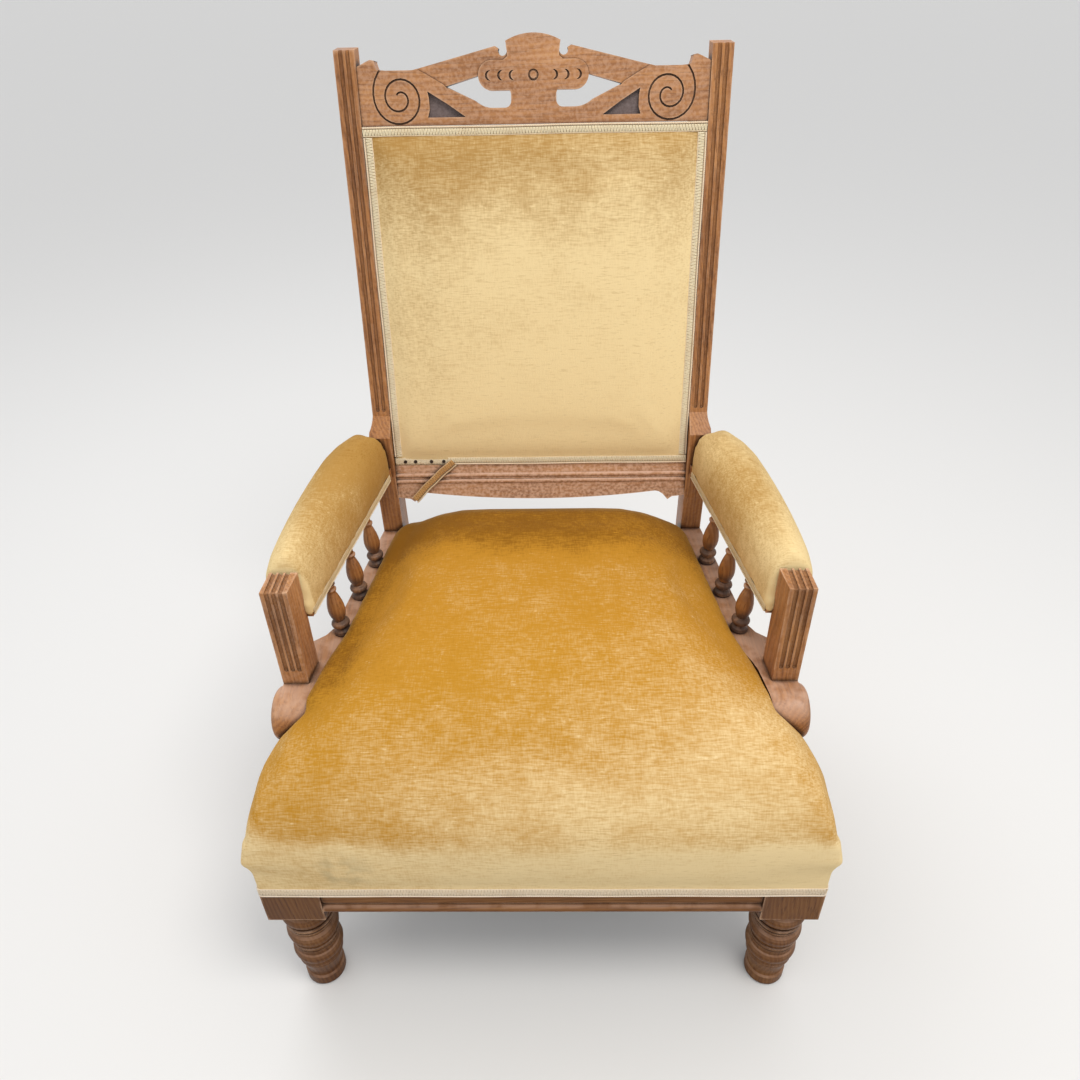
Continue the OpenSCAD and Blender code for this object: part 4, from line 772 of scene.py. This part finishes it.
def gimp_finish(name, valley, loop, cord, soil_colour):
    mat, tree = blank(name)
    where = place_on(tree)
    kind = put(tree, "Attribute", {"attribute_name": "thread"}).outputs["Fac"]
    soil = noise(tree, where, 38.0, 4.0)
    fibre = noise(tree, where, 1800.0, 2.0)
    # Tape takes the valley colour; on the braids this darkens the valleys between the loops as painted
    # shade.
    colour = blend(tree, spread(tree, kind, 0.0, 0.35), valley, loop)
    colour = blend(tree, spread(tree, kind, 0.6, 0.9), colour, cord)
    colour = blend(tree, spread(tree, fibre.outputs[0], 0.45, 0.65, 0.0, 0.3), colour, valley)
    colour = blend(tree, spread(tree, soil.outputs[0], 0.45, 0.75, 0.0, 0.45), colour, soil_colour)
    relief = put(tree, "Bump", Height=fibre.outputs[0], Strength=0.5, Distance=0.0004)
    finish_surface(tree, put(tree, "BsdfPrincipled", Base_Color=colour, Roughness=0.8,
                             Normal=relief.outputs[0], Sheen_Weight=0.2, Sheen_Roughness=0.4))
    return mat


random.seed(7)
cream = gimp_finish("cream gimp", (0.66, 0.52, 0.33, 1), (0.88, 0.78, 0.55, 1), (0.92, 0.76, 0.56, 1),
                    (0.74, 0.58, 0.37, 1))
BACK_GIMP_WIDTH = 0.011


def back_run(x0, s0, x1, s1):
    n = 12
    line = [on_back(x0 + (x1 - x0) * i / n, s0 + (s1 - s0) * i / n, 1.0) for i in range(n + 1)]
    return line, [forward.normalized()] * (n + 1), BACK_GIMP_WIDTH


braid("back_gimp", cream, [back_run(-200.2, 344.6, 200.2, 344.6), back_run(-195, -58.5, -195, 338.5),
                           back_run(195, 338.5, 195, -58.5), back_run(200.2, -65.5, -127, -65.5)],
      "back_gimp_top", "back_gimp_left", "back_gimp_right", "back_gimp_bottom")

seat_line = [(234.6, 455), (322.5, 68), (322.5, 4), (321.3, 0.7), (318, -0.5)]
seat_line += [(-x, y) for x, y in reversed(seat_line)]
face = [Vector((x, y, 0)) for x, y in ((1, 0.225), (1, 0.1), (1, 0), (1, -1), (0, -1))]
face += [Vector((-v.x, v.y, 0)) for v in reversed(face)]
seat_run = ([row(x, y, 228.5) for x, y in seat_line], [v.normalized() for v in face], 0.015)
pale = gimp_finish("pale gimp", (0.70, 0.55, 0.37, 1), (0.92, 0.78, 0.58, 1), (0.96, 0.84, 0.68, 1),
                   (0.76, 0.60, 0.40, 1))
braid("seat_gimp_braid", pale, [seat_run], "seat_gimp", proud=0.55)

straw = gimp_finish("straw gimp", (0.48, 0.34, 0.17, 1), (0.76, 0.61, 0.36, 1), (0.84, 0.69, 0.45, 1),
                    (0.56, 0.40, 0.20, 1))
ARM_GIMP_WIDTH = 0.0105
for side, sign, flip in (("left", -1, mirrored), ("right", 1, list)):
    spots = [2 + 23.4 * i for i in range(13)]
    outer = flip([on_arm(rail_outside(s), s, 6.2) for s in spots])
    outward = [Vector((sign, 0.001 * s, 0)).normalized() for s in spots]
    inner = flip([on_arm(rail_inside(s), s, 6.2) for s in (2, 90, 180, 258)])
    inward = [Vector((-sign, -0.197, 0)).normalized()] * 4
    if sign > 0:
        outer, outward = outer[::-1], outward[::-1]
    else:
        inner = inner[::-1]
    edges = [(outer, outward, ARM_GIMP_WIDTH), (inner, inward, ARM_GIMP_WIDTH)]
    braid(f"arm_gimp_{side}_braid", straw, edges, f"arm_gimp_{side}")

# The end of the bottom gimp has come unstuck. It hangs forward and shows the brown glue on
# the back of its tape, with the frayed ends of its threads below.
brown = gimp_finish("gimp back", (0.22, 0.085, 0.02, 1), (0.64, 0.36, 0.12, 1), (0.86, 0.68, 0.42, 1),
                    (0.40, 0.17, 0.04, 1))
CURL_STEPS = 16
curl, facing = [], []
for i in range(CURL_STEPS + 1):
    f = i / CURL_STEPS
    off_back = 2.5 + 3.6 * smooth(f * 2.2) + 4.8 * f * f
    curl.append(on_back(-119 - 56 * f, -67 - 42 * f - 10 * f * f, off_back))
    twist = Vector((0.35 * math.sin(f * 4.2), 0, 0.22 * math.sin(f * 5.1)))
    facing.append((forward * 1000 + twist).normalized())
braid("loose_gimp_threads", brown, [(curl, facing, 0.0118)])


def weave_rows(bm, ranks):
    """Fills in the faces of a cloth between its ranks of points."""
    for lower, upper in zip(ranks, ranks[1:]):
        for i in range(len(lower) - 1):
            bm.faces.new((lower[i], upper[i], upper[i + 1], lower[i + 1]))


def thicken(piece, thickness):
    body = piece.modifiers.new("cloth thickness", "SOLIDIFY")
    body.thickness, body.offset = thickness, -1


TAPE_HALF = 0.0056
tape = bmesh.new()
bands = []
for i, (p, out) in enumerate(zip(curl, facing)):
    along = (curl[min(i + 1, CURL_STEPS)] - curl[max(i - 1, 0)]).normalized()
    over = out.cross(along).normalized()
    frayed = 0.002 if i == CURL_STEPS else 0
    bands.append([tape.verts.new(p + over * TAPE_HALF * (j - 2) / 2 - out * 0.0002
                                 + along * frayed * math.sin(j * 2.1)) for j in range(5)])
weave_rows(tape, bands)
tape.verts.layers.float.new("thread")
loose_tape = add_piece("loose_tape", tape, brown, "gimp", "back_gimp_loose_end")
thicken(loose_tape, 0.0005)

# Under the tacks the raw edge of the velvet is turned back and shows its cream backing.
backing, tree = blank("velvet backing")
woven = place_group(tree, weave, Vector=place_on(tree), Threads=1100.0)
colour = blend(tree, woven["Color"], (0.50, 0.38, 0.22, 1), (0.88, 0.76, 0.54, 1))
relief = put(tree, "Bump", Height=woven["Height"], Strength=0.4, Distance=0.0004)
finish_surface(tree, put(tree, "BsdfPrincipled", Base_Color=colour, Roughness=0.9,
                         Normal=relief.outputs[0]))
bm = bmesh.new()
strip = []
for j in range(5):
    line = []
    for i in range(49):
        ragged = 0.5 * math.sin(i * 0.9) * (j == 4) - 0.3 * math.sin(i * 0.5) * (j == 0)
        rounded = 0.55 + 0.75 * math.sin(math.pi * j / 4) + 0.15 * math.sin(i * 1.3 + j)
        line.append(bm.verts.new(on_back(-200 + 1.55 * i, -71.2 + 2.6 * j + ragged, rounded)))
    strip.append(line)
weave_rows(bm, [line[::-1] for line in strip])
thicken(add_piece("turned_edge", bm, backing, "velvet"), 0.0008)

# Outside back: a flat panel of the same velvet, tacked and gimped round its edge.
outside_velvet = velvet("velvet, outside back", (0.46, 0.24, 0.05, 1), (0.66, 0.46, 0.20, 1))
bm = bmesh.new()
COLUMNS, RANKS = 40, 36
sheet = []
for j in range(RANKS + 1):
    line = []
    for i in range(COLUMNS + 1):
        across = math.sin(math.pi * i / COLUMNS)
        slack = 1.4 * across * math.sin(math.pi * j / RANKS) + 0.25 * math.sin(j * 1.9 + i * 0.35) * across
        place = on_back(-200.4 + 400.8 * i / COLUMNS, -53.5 + 403 * j / RANKS, -27.3 - slack)
        line.append(bm.verts.new(place))
    sheet.append(line)
weave_rows(bm, sheet)
outside_nap = bm.verts.layers.float.new("nap")
for v in bm.verts:
    v[outside_nap] = 0.45
outside_cover = add_piece("outside_cover", bm, outside_velvet, "velvet", "back_outside_cover")
thicken(outside_cover, 0.0012)


def outside_run(x0, s0, x1, s1):
    line, outs, width = back_run(x0, s0, x1, s1)
    return [p - forward * 28.5 for p in line], [-v for v in outs], width


braid("outside_gimp", cream, [outside_run(200, 343.6, -200, 343.6), outside_run(195, -47.5, 195, 337.5),
                              outside_run(-195, 337.5, -195, -47.5), outside_run(-200, -48, 200, -48)],
      "back_outside_gimp")

# Black cotton under the seat: cut to the rails, turned in and tacked, sagging a little.
dust_cloth = cloth("black cotton", (0.012, 0.012, 0.013, 1), (0.045, 0.043, 0.045, 1), 900.0)
bm = bmesh.new()
# It is notched round the front legs and the rear posts, and its sides draw in towards the back
LEG_BACK, SIDE_RUN, NOTCH, FRONT_HALF, DRAWN_IN = -0.2127, 0.388, 0.199, 0.3091, 0.2425
ys = [-0.2727 + 0.06 * i / 5 for i in range(6)]
ys += [LEG_BACK + SIDE_RUN * i / 30 for i in range(1, 31)] + [0.1885, 0.2013]
steps = [-1, -0.74, -0.48, -0.24] + [i / 20 for i in range(21)] + [1.24, 1.48, 1.74, 2]
cloth_rows = []
for y in ys:
    edge = FRONT_HALF - DRAWN_IN * max(0, min(SIDE_RUN, y - LEG_BACK))
    line = []
    for u in steps:
        if 0 <= u <= 1:
            x = -NOTCH + 2 * NOTCH * u
        else:
            x = math.copysign(NOTCH + (edge - NOTCH) * (-u if u < 0 else u - 1), u)
        near_side, near_end = abs(x) / edge, abs(y + 0.036) / 0.237
        over = max(near_side, near_end)
        pucker = 0.0006 * math.sin(230 * (x if near_end > near_side else y)) * smooth((over - 0.75) * 4)
        line.append(bm.verts.new((x, y, 0.1809 - 0.0045 * (1 - smooth(over)) + pucker * (over < 0.97))))
    cloth_rows.append(line)
for j, (lower, upper) in enumerate(zip(cloth_rows, cloth_rows[1:])):
    first, last = (2, len(steps) - 3) if j < 5 else (4, len(steps) - 5) if j > 34 else (0, len(steps) - 1)
    for i in range(first, last):
        bm.faces.new((lower[i], upper[i], upper[i + 1], lower[i + 1]))
bmesh.ops.delete(bm, geom=[v for v in bm.verts if not v.link_faces], context="VERTS")
dust_cover = add_piece("dust_cover", bm, dust_cloth, "dust_cover", "seat_dust_cover")
thicken(dust_cover, 0.0007)
